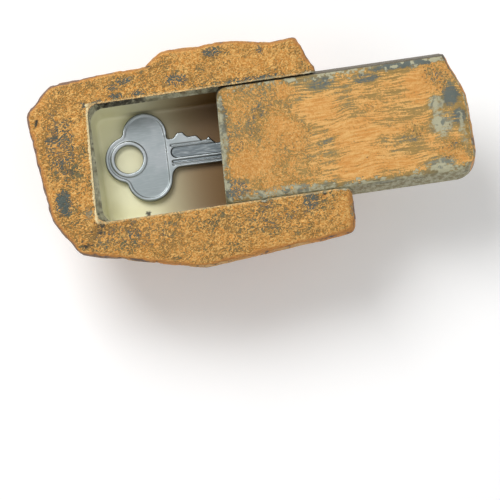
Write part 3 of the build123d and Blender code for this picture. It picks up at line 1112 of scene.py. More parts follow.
class Nodes:
    """A short way to add nodes to a material or a group and to link them."""

    def __init__(self, tree: Tree) -> None:
        """Works in one node tree."""
        self.tree = tree

    def add(self, kind: str, **settings: object) -> bpy.types.Node:
        """Adds a node and sets its fields and its inputs.

        Args:
            kind: The node's type name, such as ShaderNodeMix.
            **settings: A field's name, or in_ and an input's label or number.

        Returns:
            The node.
        """
        node = self.tree.nodes.new(kind)
        for name, value in settings.items():
            if name.startswith("in_"):
                self.feed(node, name[3:], value)
            else:
                setattr(node, name, value)
        return node

    def feed(self, node: bpy.types.Node, name: str, value: object) -> None:
        """Links a socket to one input, or sets the input's value."""
        socket = node.inputs[int(name)] if name.isdigit() else node.inputs[name.replace("_", " ")]
        if isinstance(value, Socket):
            self.tree.links.new(value, socket)
        else:
            socket.default_value = value

    def math(self, operation: str, *values: Value) -> Socket:
        """One sum of up to three numbers, such as MULTIPLY_ADD."""
        node = self.add("ShaderNodeMath", operation=operation)
        for number, value in enumerate(values):
            self.feed(node, str(number), value)
        return node.outputs[0]

    def times(self, first: Value, second: Value) -> Socket:
        """The product of two numbers."""
        return self.math("MULTIPLY", first, second)

    def larger(self, first: Value, second: Value) -> Socket:
        """The larger of two numbers."""
        return self.math("MAXIMUM", first, second)

    def inverse(self, value: Value) -> Socket:
        """1 less the value."""
        return self.math("SUBTRACT", 1.0, value)

    def total(self, *terms: tuple[Value, float]) -> Socket:
        """Adds several values.

        Args:
            *terms: Each value and its weight.

        Returns:
            The sum of the values, each times its weight.
        """
        result = self.times(*terms[0])
        for value, weight in terms[1:]:
            result = self.math("MULTIPLY_ADD", value, weight, result)
        return result

    def ramp(self, value: Value, low: float, high: float) -> Socket:
        """Maps a value to 0 at low and 1 at high, smoothly and clamped."""
        node = self.add("ShaderNodeMapRange", interpolation_type="SMOOTHSTEP", in_Value=value,
                        in_From_Min=low, in_From_Max=high)
        return node.outputs["Result"]

    def mix(self, factor: Value, first: Socket | Colour, second: Socket | Colour) -> Socket:
        """Mixes two colours by a factor."""
        return self.add("ShaderNodeMix", data_type="RGBA", in_0=factor, in_6=first, in_7=second).outputs[2]

    def blend(self, factor: Value, first: Value, second: Value) -> Socket:
        """Mixes two numbers by a factor."""
        return self.add("ShaderNodeMix", in_0=factor, in_2=first, in_3=second).outputs[0]

    def axis(self, place: Socket, name: str) -> Socket:
        """A place's X, Y or Z."""
        return self.add("ShaderNodeSeparateXYZ", in_0=place).outputs[name]

    def moved(self, place: Socket, shift: Triple, stretch: Triple, turn: float) -> Socket:
        """A place moved, turned about Z by radians and stretched, for a pattern to be drawn there."""
        node = self.add("ShaderNodeMapping", vector_type="TEXTURE", in_Vector=place, in_Location=shift,
                        in_Rotation=(0.0, 0.0, turn), in_Scale=stretch)
        return node.outputs["Vector"]

    def noise(self, place: Socket, pattern: Pattern, output: str = "Fac") -> Socket:
        """Draws a pattern.

        Args:
            place: The place in mm.
            pattern: The pattern.
            output: Fac or Color.

        Returns:
            The pattern's value, 0 to 1, or its colour.
        """
        where = self.moved(place, pattern.shift, pattern.stretch, pattern.turn)
        node = self.add("ShaderNodeTexNoise", in_Vector=where, in_Scale=pattern.scale,
                        in_Detail=pattern.detail, in_Roughness=pattern.roughness,
                        in_Distortion=pattern.distortion)
        return node.outputs[output]

    def mottled(self, place: Socket, pattern: Pattern, edge: Range, first: Socket | Colour,
                second: Socket | Colour) -> Socket:
        """One colour with patches of a second one, where the pattern rises past the edge's values."""
        return self.mix(self.ramp(self.noise(place, pattern), *edge), first, second)

    def stone_place(self, drawn_out: float = 0.0) -> Socket:
        """The Object coordinates, put into the stone's frame in mm.

        Args:
            drawn_out: How far the piece is drawn out at rest.

        Returns:
            The place, with the piece pushed back by that much.
        """
        where = self.add("ShaderNodeTexCoord").outputs["Object"]
        shift = STONE_ORIGIN + [drawn_out, 0.0, 0.0]
        node = self.add("ShaderNodeMapping", in_Vector=where, in_Location=tuple(-shift),
                        in_Scale=(1.0 / METRES,) * 3)
        return node.outputs["Vector"]

    def mask(self, name: str) -> Socket:
        """One of the piece's own stored masks."""
        return self.add("ShaderNodeAttribute", attribute_name=name).outputs["Fac"]

    def seen(self) -> Socket:
        """1 for the rays that the camera, a gloss or a glass sees by, and 0 for the rays that light."""
        path = self.add("ShaderNodeLightPath").outputs
        direct = self.larger(path["Is Camera Ray"], path["Is Glossy Ray"])
        return self.larger(direct, path["Is Transmission Ray"])

    def group(self, tree: Tree, **inputs: Value) -> Outputs:
        """Places an effect.

        Args:
            tree: The effect.
            **inputs: Its values here.

        Returns:
            Its outputs by name.
        """
        node = self.add("ShaderNodeGroup", node_tree=tree)
        for label, value in inputs.items():
            self.feed(node, label, value)
        return {socket.name: socket for socket in node.outputs}


# ---- shared paint effects


class Effect(Nodes):
    """A shader node group with named inputs and outputs."""

    def __init__(self, name: str, inputs: dict[str, str], outputs: dict[str, str]) -> None:
        """Makes the empty group.

        Args:
            name: The group's name.
            inputs: For each input its socket type.
            outputs: For each output its socket type.
        """
        tree = bpy.data.node_groups.new(name, "ShaderNodeTree")
        super().__init__(tree)
        for side, sockets in (("INPUT", inputs), ("OUTPUT", outputs)):
            for label, kind in sockets.items():
                tree.interface.new_socket(label, in_out=side, socket_type=kind)
        self.given = tree.nodes.new("NodeGroupInput").outputs
        self.result = tree.nodes.new("NodeGroupOutput")

    def give(self, **outputs: Value) -> Tree:
        """Links the group's outputs, and returns its tree."""
        for label, value in outputs.items():
            self.feed(self.result, label, value)
        return self.tree


@dataclass(frozen=True)
class BrushedPaint:
    """Brushed-on paint over a darker coat: short curling dabs, or long bristle strokes."""

    fine: Pattern = Pattern(1.3, 4, 0.66, 1.5)  # the dabs' torn edges
    # The pattern whose middle values run as curling lines.
    worms: Pattern = Pattern(0.6, 1.5, 0.5, 2.2, shift=(4, 2, 9))
    worm_width: float = 0.09  # how far from its middle value such a line reaches
    # Where the paint is thick and where it is thin.
    broad: Pattern = Pattern(0.17, 3, 0.55, 0.4, shift=(9, 5, 1))
    waver: Pattern = Pattern(0.05, 2)  # how the bristle strokes waver
    bend: Triple = (0.0, 6.0, 0.0)  # how far they waver
    bristles: Pattern = Pattern(2, 3, 0.65, stretch=(10, 1, 1))  # the bristles' fine lines
    # The broad strokes that they run in.
    sweep: Pattern = Pattern(0.35, 3, 0.55, shift=(31, 7, 0), stretch=(4, 1, 1))
    speckle: Pattern = Pattern(2.3, 2, 0.6, shift=(6, 1, 3))  # the grain of the dabs
    covered: Range = (0.74, 0.94)  # where the top coat starts, and where it hides the lower one
    creased: Range = (0.66, 0.76)  # where the creases' painted shade is full, and where there is none
    toned: Range = (0.42, 0.62)  # where the top coat is darkest and palest

    def group(self) -> Tree:
        """Builds the effect.

        Returns:
            The group. Its mask is 1 where the top coat lies, its deep is 1 in the darkest creases, where
            the painted shade goes, its tone varies within the coat and is palest on the fine grain that
            also raises the relief, partly a painted highlight, and its height is the coat's relief.
        """
        effect = Effect("brushed_paint", {"Vector": VECTOR, "Cover": NUMBER, "Strokes": NUMBER},
                        {"Mask": NUMBER, "Deep": NUMBER, "Tone": NUMBER, "Height": NUMBER})
        place, strokes = effect.given["Vector"], effect.given["Strokes"]
        fine, speckle = effect.noise(place, self.fine), effect.noise(place, self.speckle)
        off_line = effect.math("ABSOLUTE", effect.math("SUBTRACT", effect.noise(place, self.worms), 0.5))
        worms = effect.inverse(effect.ramp(off_line, 0.0, self.worm_width))
        dabs = effect.total((fine, 0.60), (worms, 0.20), (effect.noise(place, self.broad), 0.42))
        bent = effect.add("ShaderNodeVectorMath", operation="MULTIPLY_ADD", in_1=self.bend, in_2=place,
                          in_0=effect.noise(place, self.waver, "Color")).outputs[0]
        bristles = effect.noise(bent, self.bristles)
        lines = effect.total((bristles, 0.52), (effect.noise(bent, self.sweep), 0.34), (fine, 0.37))
        relief = effect.blend(strokes, dabs, lines)
        lifted = effect.total((relief, 1.0), (effect.given["Cover"], 0.5))
        grain = effect.blend(strokes, speckle, bristles)
        return effect.give(
            Mask=effect.ramp(lifted, *self.covered),
            Deep=effect.inverse(effect.ramp(lifted, *self.creased)),
            Tone=effect.ramp(effect.total((grain, 0.6), (fine, 0.4)), *self.toned),
            Height=effect.total((relief, 1.6), (speckle, 0.5)),
        )


@dataclass(frozen=True)
class CastingPits:
    """Small round air holes of a casting, scattered unevenly."""

    crowd: Pattern = Pattern(0.16, 2)  # where they crowd together
    chosen: Range = (1.00, 1.10)  # where the first holes are, and where every cell has one
    # How far from its middle a hole's wall ends and starts, as a share of a cell.
    wall: Range = (0.10, 0.32)

    def group(self) -> Tree:
        """Builds the effect, whose mask is 1 in a hole."""
        effect = Effect("casting_pits", {"Vector": VECTOR, "Scale": NUMBER, "Amount": NUMBER},
                        {"Mask": NUMBER})
        place = effect.given["Vector"]
        cells = effect.add("ShaderNodeTexVoronoi", in_Vector=place, in_Scale=effect.given["Scale"])
        where = effect.total((effect.noise(place, self.crowd), 1.0), (effect.given["Amount"], 1.0))
        hole = effect.inverse(effect.ramp(cells.outputs["Distance"], *self.wall))
        return effect.give(Mask=effect.times(hole, effect.ramp(where, *self.chosen)))


@dataclass(frozen=True)
class SlotDistance:
    """How far a place lies outside the slot's outline, seen from above, in mm."""

    corner: float = 2.5  # how far the outline's corners are smoothed

    def group(self) -> Tree:
        """Builds the effect.

        Returns:
            The group. Its distance is the smooth maximum of |y - middle| - half and
            end + skew (y - middle) - x.
        """
        numbers = ("Half", "End", "Middle", "Skew")
        effect = Effect("slot_distance", {"Vector": VECTOR} | dict.fromkeys(numbers, NUMBER),
                        {"Distance": NUMBER})
        place = effect.given["Vector"]
        half, end, middle, skew = (effect.given[name] for name in numbers)
        across = effect.math("SUBTRACT", effect.axis(place, "Y"), middle)
        beside = effect.math("SUBTRACT", effect.math("ABSOLUTE", across), half)
        inner_end = effect.math("MULTIPLY_ADD", across, skew, end)
        behind = effect.math("SUBTRACT", inner_end, effect.axis(place, "X"))
        return effect.give(Distance=effect.math("SMOOTH_MAX", beside, behind, self.corner))


@dataclass(frozen=True)
class SpeckledFlank:
    """The flank's and the crown's paint, which the cover's outer end shares."""

    ochre: Colour = srgb(204, 152, 82)  # the ground colour
    tan: Colour = srgb(222, 176, 112)  # the ground's pale fields
    orange: Colour = srgb(212, 142, 62)  # the ground's warm regions
    shade: Colour = srgb(146, 114, 74)  # the fine darker speckle
    blotch: Colour = srgb(116, 99, 92)  # the purple-grey of the blotches and the stipple
    pit: Colour = srgb(58, 46, 40)  # the dark in the holes and the hollows
    fine: Pattern = Pattern(1.1, 4, 0.6, 0.6)  # the fine speckle
    fields: Pattern = Pattern(0.3)  # the pale fields
    regions: Pattern = Pattern(0.07, shift=(5, 9, 2))  # the warm regions
    # The blotches.
    spread: Pattern = Pattern(0.52, 4, 0.62, 0.8, shift=(13, 3, 8), stretch=(1.5, 1, 1), turn=0.5)
    density: Pattern = Pattern(0.08, 2, shift=(1, 21, 4))  # where the blotches crowd together
    stipple: Pattern = Pattern(1.5, 2, shift=(3, 5, 7))  # the stipple
    pit_scale: float = 0.55  # how many air holes there may be to the mm
    pit_amount: float = 0.50  # how many of them there are

    def group(self, pits: Tree) -> Tree:
        """Builds the effect.

        Args:
            pits: The air holes' effect.

        Returns:
            The group, with the paint's colour and its relief.
        """
        effect = Effect("speckled_flank", {"Vector": VECTOR, "Hollow": NUMBER},
                        {"Colour": COLOUR, "Height": NUMBER})
        place, hollow = effect.given["Vector"], effect.given["Hollow"]
        fine = effect.noise(place, self.fine)
        base = effect.mottled(place, self.fields, (0.40, 0.60), self.ochre, self.tan)
        base = effect.mottled(place, self.regions, (0.44, 0.58), base, self.orange)
        base = effect.mix(effect.times(effect.ramp(fine, 0.50, 0.68), 0.55), base, self.shade)
        spread, density = effect.noise(place, self.spread), effect.noise(place, self.density)
        blotches = effect.ramp(effect.total((spread, 1.0), (density, 0.55), (hollow, 0.20)), 0.845, 0.905)
        stipple = effect.ramp(effect.noise(place, self.stipple), 0.60, 0.68)
        marks = effect.larger(effect.times(blotches, 0.9), effect.times(stipple, 0.6))
        colour = effect.mix(marks, base, self.blotch)
        holes = effect.group(pits, Vector=place, Scale=self.pit_scale, Amount=self.pit_amount)["Mask"]
        deep = effect.larger(holes, effect.times(effect.ramp(hollow, 0.55, 1.0), 0.6))
        colour = effect.mix(effect.times(deep, 0.75), colour, self.pit)
        height = effect.total((fine, 0.9), (blotches, -0.40), (stipple, -0.25), (holes, -0.7))
        return effect.give(Colour=colour, Height=height)


class Effects:
    """The paint effects that more than one material uses, each a node group that is built once."""

    def __init__(self) -> None:
        """Builds the groups."""
        self.brushed = BrushedPaint().group()
        self.pits = CastingPits().group()
        self.slot_distance = SlotDistance().group()
        self.flank = SpeckledFlank().group(self.pits)


# ---- the materials


class Finish(Nodes):
    """A new material, whose nodes feed its Principled shader."""

    def __init__(self, name: str) -> None:
        """Makes the material."""
        self.material = bpy.data.materials.new(name)
        self.material.use_nodes = True
        super().__init__(self.material.node_tree)
        self.principled = self.tree.nodes["Principled BSDF"]

    def shade(self, **inputs: object) -> None:
        """Links or sets the shader's own inputs, with _ for each space in their names."""
        for label, value in inputs.items():
            self.feed(self.principled, label, value)

    def emboss(self, height: Socket, strength: float, distance: float) -> None:
        """Raises the surface's look by a height pattern, with the distance in metres."""
        bump = self.add("ShaderNodeBump", in_Height=height, in_Strength=strength, in_Distance=distance)
        self.shade(Normal=bump.outputs["Normal"])


class CastPaint(Finish):
    """Paint on cast resin: a material with the shared effects and a noise that tears their edges.

    Attributes:
        effects: The shared effects.
        place: The place in mm in the stone's frame.
        tone: A fine noise, 0 to 1.
        ragged: The same noise about 0.
    """

    TONE = Pattern(0.8, 4, 0.6, shift=(3, 11, 6))
    GLOSS = 0.35
    BETWEEN = (0.0, 0.40)
    TOP_START = 0.30

    def __init__(self, name: str, effects: Effects, drawn_out: float = 0.0) -> None:
        """Makes the material.

        Args:
            name: Its name.
            effects: The shared effects.
            drawn_out: How far its piece is drawn out at rest.
        """
        super().__init__(name)
        self.effects = effects
        self.place = self.stone_place(drawn_out)
        self.tone = self.noise(self.place, self.TONE)
        self.ragged = self.math("SUBTRACT", self.tone, 0.5)
        self.shade(Specular_IOR_Level=self.GLOSS)

    def torn(self, value: Value, wobble: float, low: float, high: float) -> Socket:
        """A ramp from low to high whose edge is torn by the ragged noise times the wobble."""
        return self.ramp(self.total((value, 1.0), (self.ragged, wobble)), low, high)

    def speckled(self, hollow: Value) -> Outputs:
        """The flank's paint, with its dark in the hollows."""
        return self.group(self.effects.flank, Vector=self.place, Hollow=hollow)

    def holes(self, scale: float, amount: Value) -> Socket:
        """Where the casting's air holes are."""
        return self.group(self.effects.pits, Vector=self.place, Scale=scale, Amount=amount)["Mask"]

    def outside_slot(self, sizes: SlotAndCover, gap: float) -> Socket:
        """The distance outside the slot's outline, drawn in by a gap on every side."""
        return self.group(self.effects.slot_distance, Vector=self.place, Half=sizes.half_width(gap) - gap,
                          End=sizes.slot_end + gap, Middle=sizes.middle, Skew=sizes.slant)["Distance"]

    def coated(self, brushed: Outputs, coat: Socket, between: Colour, top: Socket, full: float) -> Socket:
        """The brushed coat over the lower one."""
        colour = self.mix(self.ramp(brushed["Mask"], *self.BETWEEN), coat, between)
        return self.mix(self.ramp(brushed["Mask"], self.TOP_START, full), colour, top)

    def creased(self, brushed: Outputs, colour: Socket, dark: Colour, most: float,
                spared: tuple[Socket, float]) -> Socket:
        """Darkens the brushed coat's creases with painted shade.

        Args:
            brushed: The brushed effect's outputs.
            colour: The coats' colour.
            dark: The colour of the creases' painted shade.
            most: How far they are darkened at most, 0 to 1.
            spared: The mask of the patches that are spared, and by how much.

        Returns:
            The colour with the creases' painted shade.
        """
        patches, share = spared
        creases = self.times(brushed["Deep"], self.total((patches, -share), (1.0, most)))
        return self.mix(self.larger(creases, 0.0), colour, dark)


@dataclass(frozen=True)
class PaintedResin:
    """The stone's paint: ochre and orange dabs over a grey-green coat, on cream resin."""

    name: str  # the material's name
    sizes: SlotAndCover  # the slot's sizes, which the bare resin and the lip follow
    orange: Colour = srgb(214, 144, 62)  # the dabs' warm tone
    ochre: Colour = srgb(246, 198, 118)  # the dabs' pale tone, partly a painted highlight on their crests
    rust: Colour = srgb(190, 126, 62)  # the smooth deep tone of the rounded edge
    olive: Colour = srgb(156, 118, 58)  # the dark between the dabs
    coat: Colour = srgb(108, 104, 72)  # the coat below
    coat_blue: Colour = srgb(88, 98, 92)  # the coat's cooler patches, and the faint painted shade along the near side
    pale: Colour = srgb(154, 148, 122)  # the pale green-grey of worn places
    grey: Colour = srgb(122, 104, 96)  # the purple-grey low on the rounded edge
    wall: Colour = srgb(212, 210, 182)  # the pale paint of the slot's walls
    dark: Colour = srgb(70, 66, 54)  # the dark of the holes, the nicks, the dark patches and the pocket's mark, and of the painted shade in the creases, on the slot's far wall and by the near-left corner
    resin: Colour = srgb(244, 242, 206)  # the bare resin
    resin_shade: Colour = srgb(212, 206, 160)  # the bare resin's stains
    resin_warm: Colour = srgb(112, 80, 34)  # painted shade deep in the pocket under the cover, brown from the cover's warm bounce
    resin_lip: Colour = srgb(252, 230, 176)  # painted highlight along the slot's lip, in the pale resin colour
    coat_fields: Pattern = Pattern(0.14)  # the fields of the coat below
    wall_patches: Pattern = Pattern(0.45)  # the worn places of the slot's walls
    stains: Pattern = Pattern(0.06, shift=(2, 6, 4))  # the bare resin's stains
    dab_stretch: Triple = (1.25, 1.0, 1.0)  # how many times longer the dabs are along their own X, Y and Z
    dab_turn: float = 0.3  # how far the dabs are turned, in radians
    relief: float = 0.0005  # how high the paint's relief stands, in metres

    def shader(self, effects: Effects) -> Material:
        """Builds the stone's material from the underside's, the flank's and the slot's paint."""
        paint = CastPaint(self.name, effects)
        level, top = paint.axis(paint.place, "Z"), self.sizes.height
        slot_floor = top - self.sizes.depth
        brushed, under = self.underside(paint)
        flank = paint.speckled(paint.mask("hollow"))
        flat = paint.torn(paint.mask("under"), 0.9, 0.38, 0.56)
        painted = paint.mix(flat, flank["Colour"], under)
        low_rim = paint.torn(paint.mask("outline"), 1.2, 0.25, 0.80)
        painted = paint.mix(paint.times(low_rim, 0.8), painted, self.grey)
        inside = paint.mask("inside")
        in_slot = paint.times(inside, paint.inverse(paint.ramp(level, top - 0.5, top - 0.1)))
        colour = paint.mix(in_slot, painted, self.slot_walls(paint))
        broken = paint.torn(paint.mask("nick"), 0.8, 0.4, 0.8)
        colour = paint.mix(paint.times(broken, 0.8), colour, self.dark)
        below = paint.inverse(paint.torn(level, 1.4, slot_floor - 0.5, slot_floor + 0.1))
        in_pocket = paint.times(inside, below)
        colour = paint.mix(in_pocket, colour, self.bare_resin(paint))
        roughness = paint.total((in_pocket, -0.16), (paint.tone, 0.2), (1.0, 0.44))
        paint.shade(Base_Color=colour, Roughness=roughness)
        height = paint.blend(flat, flank["Height"], brushed["Height"])
        paint.emboss(paint.times(height, paint.inverse(in_pocket)), 1.0, self.relief)
        return paint.material

    def underside(self, paint: CastPaint) -> tuple[Outputs, Socket]:
        """The underside's dabs over its coat, its patches, its rounded rim and the painted highlight along
        the slot's lip.

        Args:
            paint: The material.

        Returns:
            The brushed effect's outputs, and the underside's colour.
        """
        cool, dark, pale, rim = (paint.mask(name) for name in ("cool", "dark", "pale", "rim"))
        cover = paint.total((cool, -0.27), (dark, -0.20), (pale, -0.22), (rim, 0.10), (1.0, 0.63))
        dabs = paint.moved(paint.place, (0.0, 0.0, 0.0), self.dab_stretch, self.dab_turn)
        brushed = paint.group(paint.effects.brushed, Vector=dabs, Cover=cover,
                              Strokes=paint.total((rim, 0.5), (1.0, 0.08)))
        coat = paint.mottled(paint.place, self.coat_fields, (0.42, 0.60), self.coat, self.olive)
        coat = paint.mix(paint.torn(cool, 2.0, 0.25, 0.70), coat, self.coat_blue)
        coat = paint.mix(paint.torn(pale, 2.0, 0.30, 0.75), coat, self.pale)
        # The pale tone is partly a painted highlight on the dabs' crests.
        warm = paint.mix(brushed["Tone"], self.orange, self.ochre)
        warm = paint.mix(paint.times(paint.torn(rim, 1.6, 0.35, 0.95), 0.75), warm, self.rust)
        colour = paint.coated(brushed, coat, self.olive, warm, full=0.80)
        # Painted shade in the dabs' creases.
        colour = paint.creased(brushed, colour, self.dark, most=0.7, spared=(cool, 0.6))
        colour = paint.mix(paint.torn(dark, 2.4, 0.45, 0.90), colour, self.dark)
        # Painted highlight along the slot's lip, in a pale resin colour.
        beside_slot = paint.inverse(paint.torn(paint.outside_slot(self.sizes, 0.0), 1.6, 0.35, 0.70))
        return brushed, paint.mix(paint.times(beside_slot, paint.mask("lip")), colour, self.resin_lip)

    def slot_walls(self, paint: CastPaint) -> Socket:
        """The slot's overpainted walls and floor, with air holes and the stretch in shadow."""
        wall = paint.mottled(paint.place, self.wall_patches, (0.46, 0.66), self.wall, self.pale)
        shadowed = paint.torn(paint.mask("shadow"), 1.4, 0.3, 0.7)
        wall = paint.mix(paint.times(shadowed, 0.85), wall, self.dark)
        return paint.mix(paint.times(paint.holes(0.8, 0.55), 0.8), wall, self.dark)

    def bare_resin(self, paint: CastPaint) -> Socket:
        """The pocket's cream resin, with its stains, the painted brown shade under the cover and its one
        dark mark.
        """
        stain = paint.ramp(paint.noise(paint.place, self.stains), 0.42, 0.72)
        cream = paint.mix(paint.times(stain, 0.5), self.resin, self.resin_shade)
        # Painted shade: the bare resin turns brown deep in the pocket, under the cover.
        cream = paint.mix(paint.mask("pocket_shade"), cream, self.resin_warm)
        return paint.mix(paint.torn(paint.mask("mark"), 1.0, 0.4, 0.7), cream, self.dark)


@dataclass(frozen=True)
class CoverPaint:
    """The cover's paint: orange brush strokes over olive and grey-green, pale at its edges."""

    name: str  # the material's name
    sizes: SlotAndCover  # the cover's sizes, which the worn edge follows
    orange: Colour = srgb(212, 146, 68)  # the strokes' warm tone
    ochre: Colour = srgb(232, 182, 108)  # the strokes' pale tone, partly a painted highlight on their crests
    olive: Colour = srgb(160, 130, 70)  # the coat between the strokes
    coat: Colour = srgb(134, 124, 88)  # the bare grey-green coat
    coat_blue: Colour = srgb(96, 104, 98)  # the coat's dark blue-grey patches
    pale: Colour = srgb(182, 178, 148)  # the pale worn coat of the edges
    pit: Colour = srgb(76, 66, 50)  # the dark in the holes, and the painted shade in the creases and along the far side
    coat_fields: Pattern = Pattern(0.12)  # the fields of the coat below
    edge_patches: Pattern = Pattern(0.35)  # where the worn edge is pale
    # The blue-grey clouds in the pale patches.
    clouds: Pattern = Pattern(0.35, distortion=1, shift=(8, 3, 5))
    start: Pattern = Pattern(0.22, 4, 0.6)  # how unevenly the strokes start
    start_waver: float = 34.0  # how far their start wavers
    # The rubbed lines of the sides.
    rubbed: Pattern = Pattern(0.7, 3, 0.6, shift=(1, 2, 3), stretch=(12, 1, 1))
    relief: float = 0.0004  # how high the paint's relief stands, in metres

    def shader(self, effects: Effects) -> Material:
        """Builds the cover's material. Its outer end has the stone's own flank paint."""
        paint = CastPaint(self.name, effects, self.sizes.drawn_out)
        brushed, face = self.face(paint)
        on_face = paint.torn(paint.mask("face"), 0.8, 0.40, 0.60)
        colour = paint.mix(on_face, self.sides(paint), face)
        flank = paint.speckled(0.0)
        on_flank = paint.torn(paint.mask("flank"), 0.5, 0.40, 0.60)
        colour = paint.mix(on_flank, colour, flank["Colour"])
        paint.shade(Base_Color=colour, Roughness=paint.total((paint.tone, 0.25), (1.0, 0.36)))
        paint.emboss(paint.blend(on_flank, brushed["Height"], flank["Height"]), 0.9, self.relief)
        return paint.material

    def face(self, paint: CastPaint) -> tuple[Outputs, Socket]:
        """The face's strokes over its coat, with its patches and its worn edge.

        Args:
            paint: The material.

        Returns:
            The brushed effect's outputs, and the face's colour.
        """
        thick, cool, pale, pitted = (paint.mask(name) for name in ("warm", "cool", "pale", "pitted"))
        worn = paint.torn(paint.outside_slot(self.sizes, self.sizes.clearance), 7.0, -2.2, -0.4)
        along = paint.total((paint.axis(paint.place, "X"), 1.0),
                            (paint.noise(paint.place, self.start), self.start_waver))
        strokes = paint.times(paint.ramp(along, 9.0, 14.0), paint.inverse(pitted))
        cover = paint.total((thick, 0.22), (cool, -0.27), (pale, -0.30), (pitted, 0.05), (worn, -0.36),
                            (strokes, -0.16), (1.0, 0.64))
        brushed = paint.group(paint.effects.brushed, Vector=paint.place, Cover=cover, Strokes=strokes)
        body = paint.mottled(paint.place, self.coat_fields, (0.42, 0.58), self.olive, self.coat)
        body = paint.mix(paint.torn(cool, 2.2, 0.30, 0.80), body, self.coat_blue)
        pale_edge = paint.times(worn, paint.ramp(paint.noise(paint.place, self.edge_patches), 0.42, 0.56))
        body = paint.mix(paint.torn(paint.larger(pale, pale_edge), 2.2, 0.35, 0.85), body, self.pale)
        clouds = paint.times(pale, paint.ramp(paint.noise(paint.place, self.clouds), 0.50, 0.60))
        body = paint.mix(paint.times(clouds, 0.8), body, self.coat_blue)
        # The pale tone is partly a painted highlight on the strokes' crests.
        warm = paint.mix(brushed["Tone"], self.orange, self.ochre)
        colour = paint.coated(brushed, body, self.olive, warm, full=0.85)
        open_coat = paint.larger(pale, paint.larger(worn, cool))
        # Painted shade in the strokes' creases.
        colour = paint.creased(brushed, colour, self.pit, most=0.5, spared=(open_coat, 0.5))
        holes = paint.holes(0.9, paint.total((pitted, 0.25), (1.0, 0.40)))
        return brushed, paint.mix(paint.times(holes, 0.75), colour, self.pit)

    def sides(self, paint: CastPaint) -> Socket:
        """The dovetailed sides and the floor: pale grey-green, with dark rubbed lines along X and painted
        shade along the far side.
        """
        colour = paint.mix(paint.ramp(paint.ragged, -0.12, 0.14), self.pale, self.coat)
        colour = paint.mottled(paint.place, self.rubbed, (0.56, 0.66), colour, self.coat_blue)
        # Painted shade: the far side darkens, as in the gap by the slot's far lip.
        far_side_shade = paint.ramp(paint.axis(paint.place, "Y"), 8.0, 14.0)
        colour = paint.mix(paint.times(far_side_shade, 0.85), colour, self.pit)
        return paint.mix(paint.times(paint.holes(0.8, 0.44), 0.7), colour, self.pit)


@dataclass(frozen=True)
class NickelKeyMetal:
    """The key's satin nickel, with fine scratches, darker handled patches and painted shade in its sunk
    grooves.
    """

    name: str  # the material's name
    nickel: Colour = srgb(150, 155, 157)  # the metal's colour
    shade: Colour = srgb(130, 137, 138)  # its darker, handled tone
    # The painted shade in the milled grooves and along the bow's border.
    grime: Colour = srgb(78, 86, 90)
    handled: Pattern = Pattern(0.12)  # where it is handled
    # Its fine scratches along the blade.
    scratches: Pattern = Pattern(2.6, shift=(1, 2, 3), stretch=(7, 1, 1))
    relief: float = 0.0001  # how deep the scratches are, in metres

    def shader(self) -> Material:
        """Builds the key's material."""
        metal = Finish(self.name)
        place = metal.stone_place()
        handled = metal.ramp(metal.noise(place, self.handled), 0.35, 0.65)
        scratches = metal.noise(place, self.scratches)
        # Painted shade in the sunk grooves, broken up by the scratches.
        shaded_grooves = metal.times(metal.mask("sunk"), metal.ramp(scratches, 0.25, 0.60))
        metal.shade(
            Base_Color=metal.mix(shaded_grooves, metal.mix(handled, self.nickel, self.shade), self.grime),
            Roughness=metal.total((scratches, 0.16), (handled, 0.06), (1.0, 0.22)),
            Metallic=1.0,
        )
        metal.emboss(scratches, 0.10, self.relief)
        return metal.material


# ---- the pieces


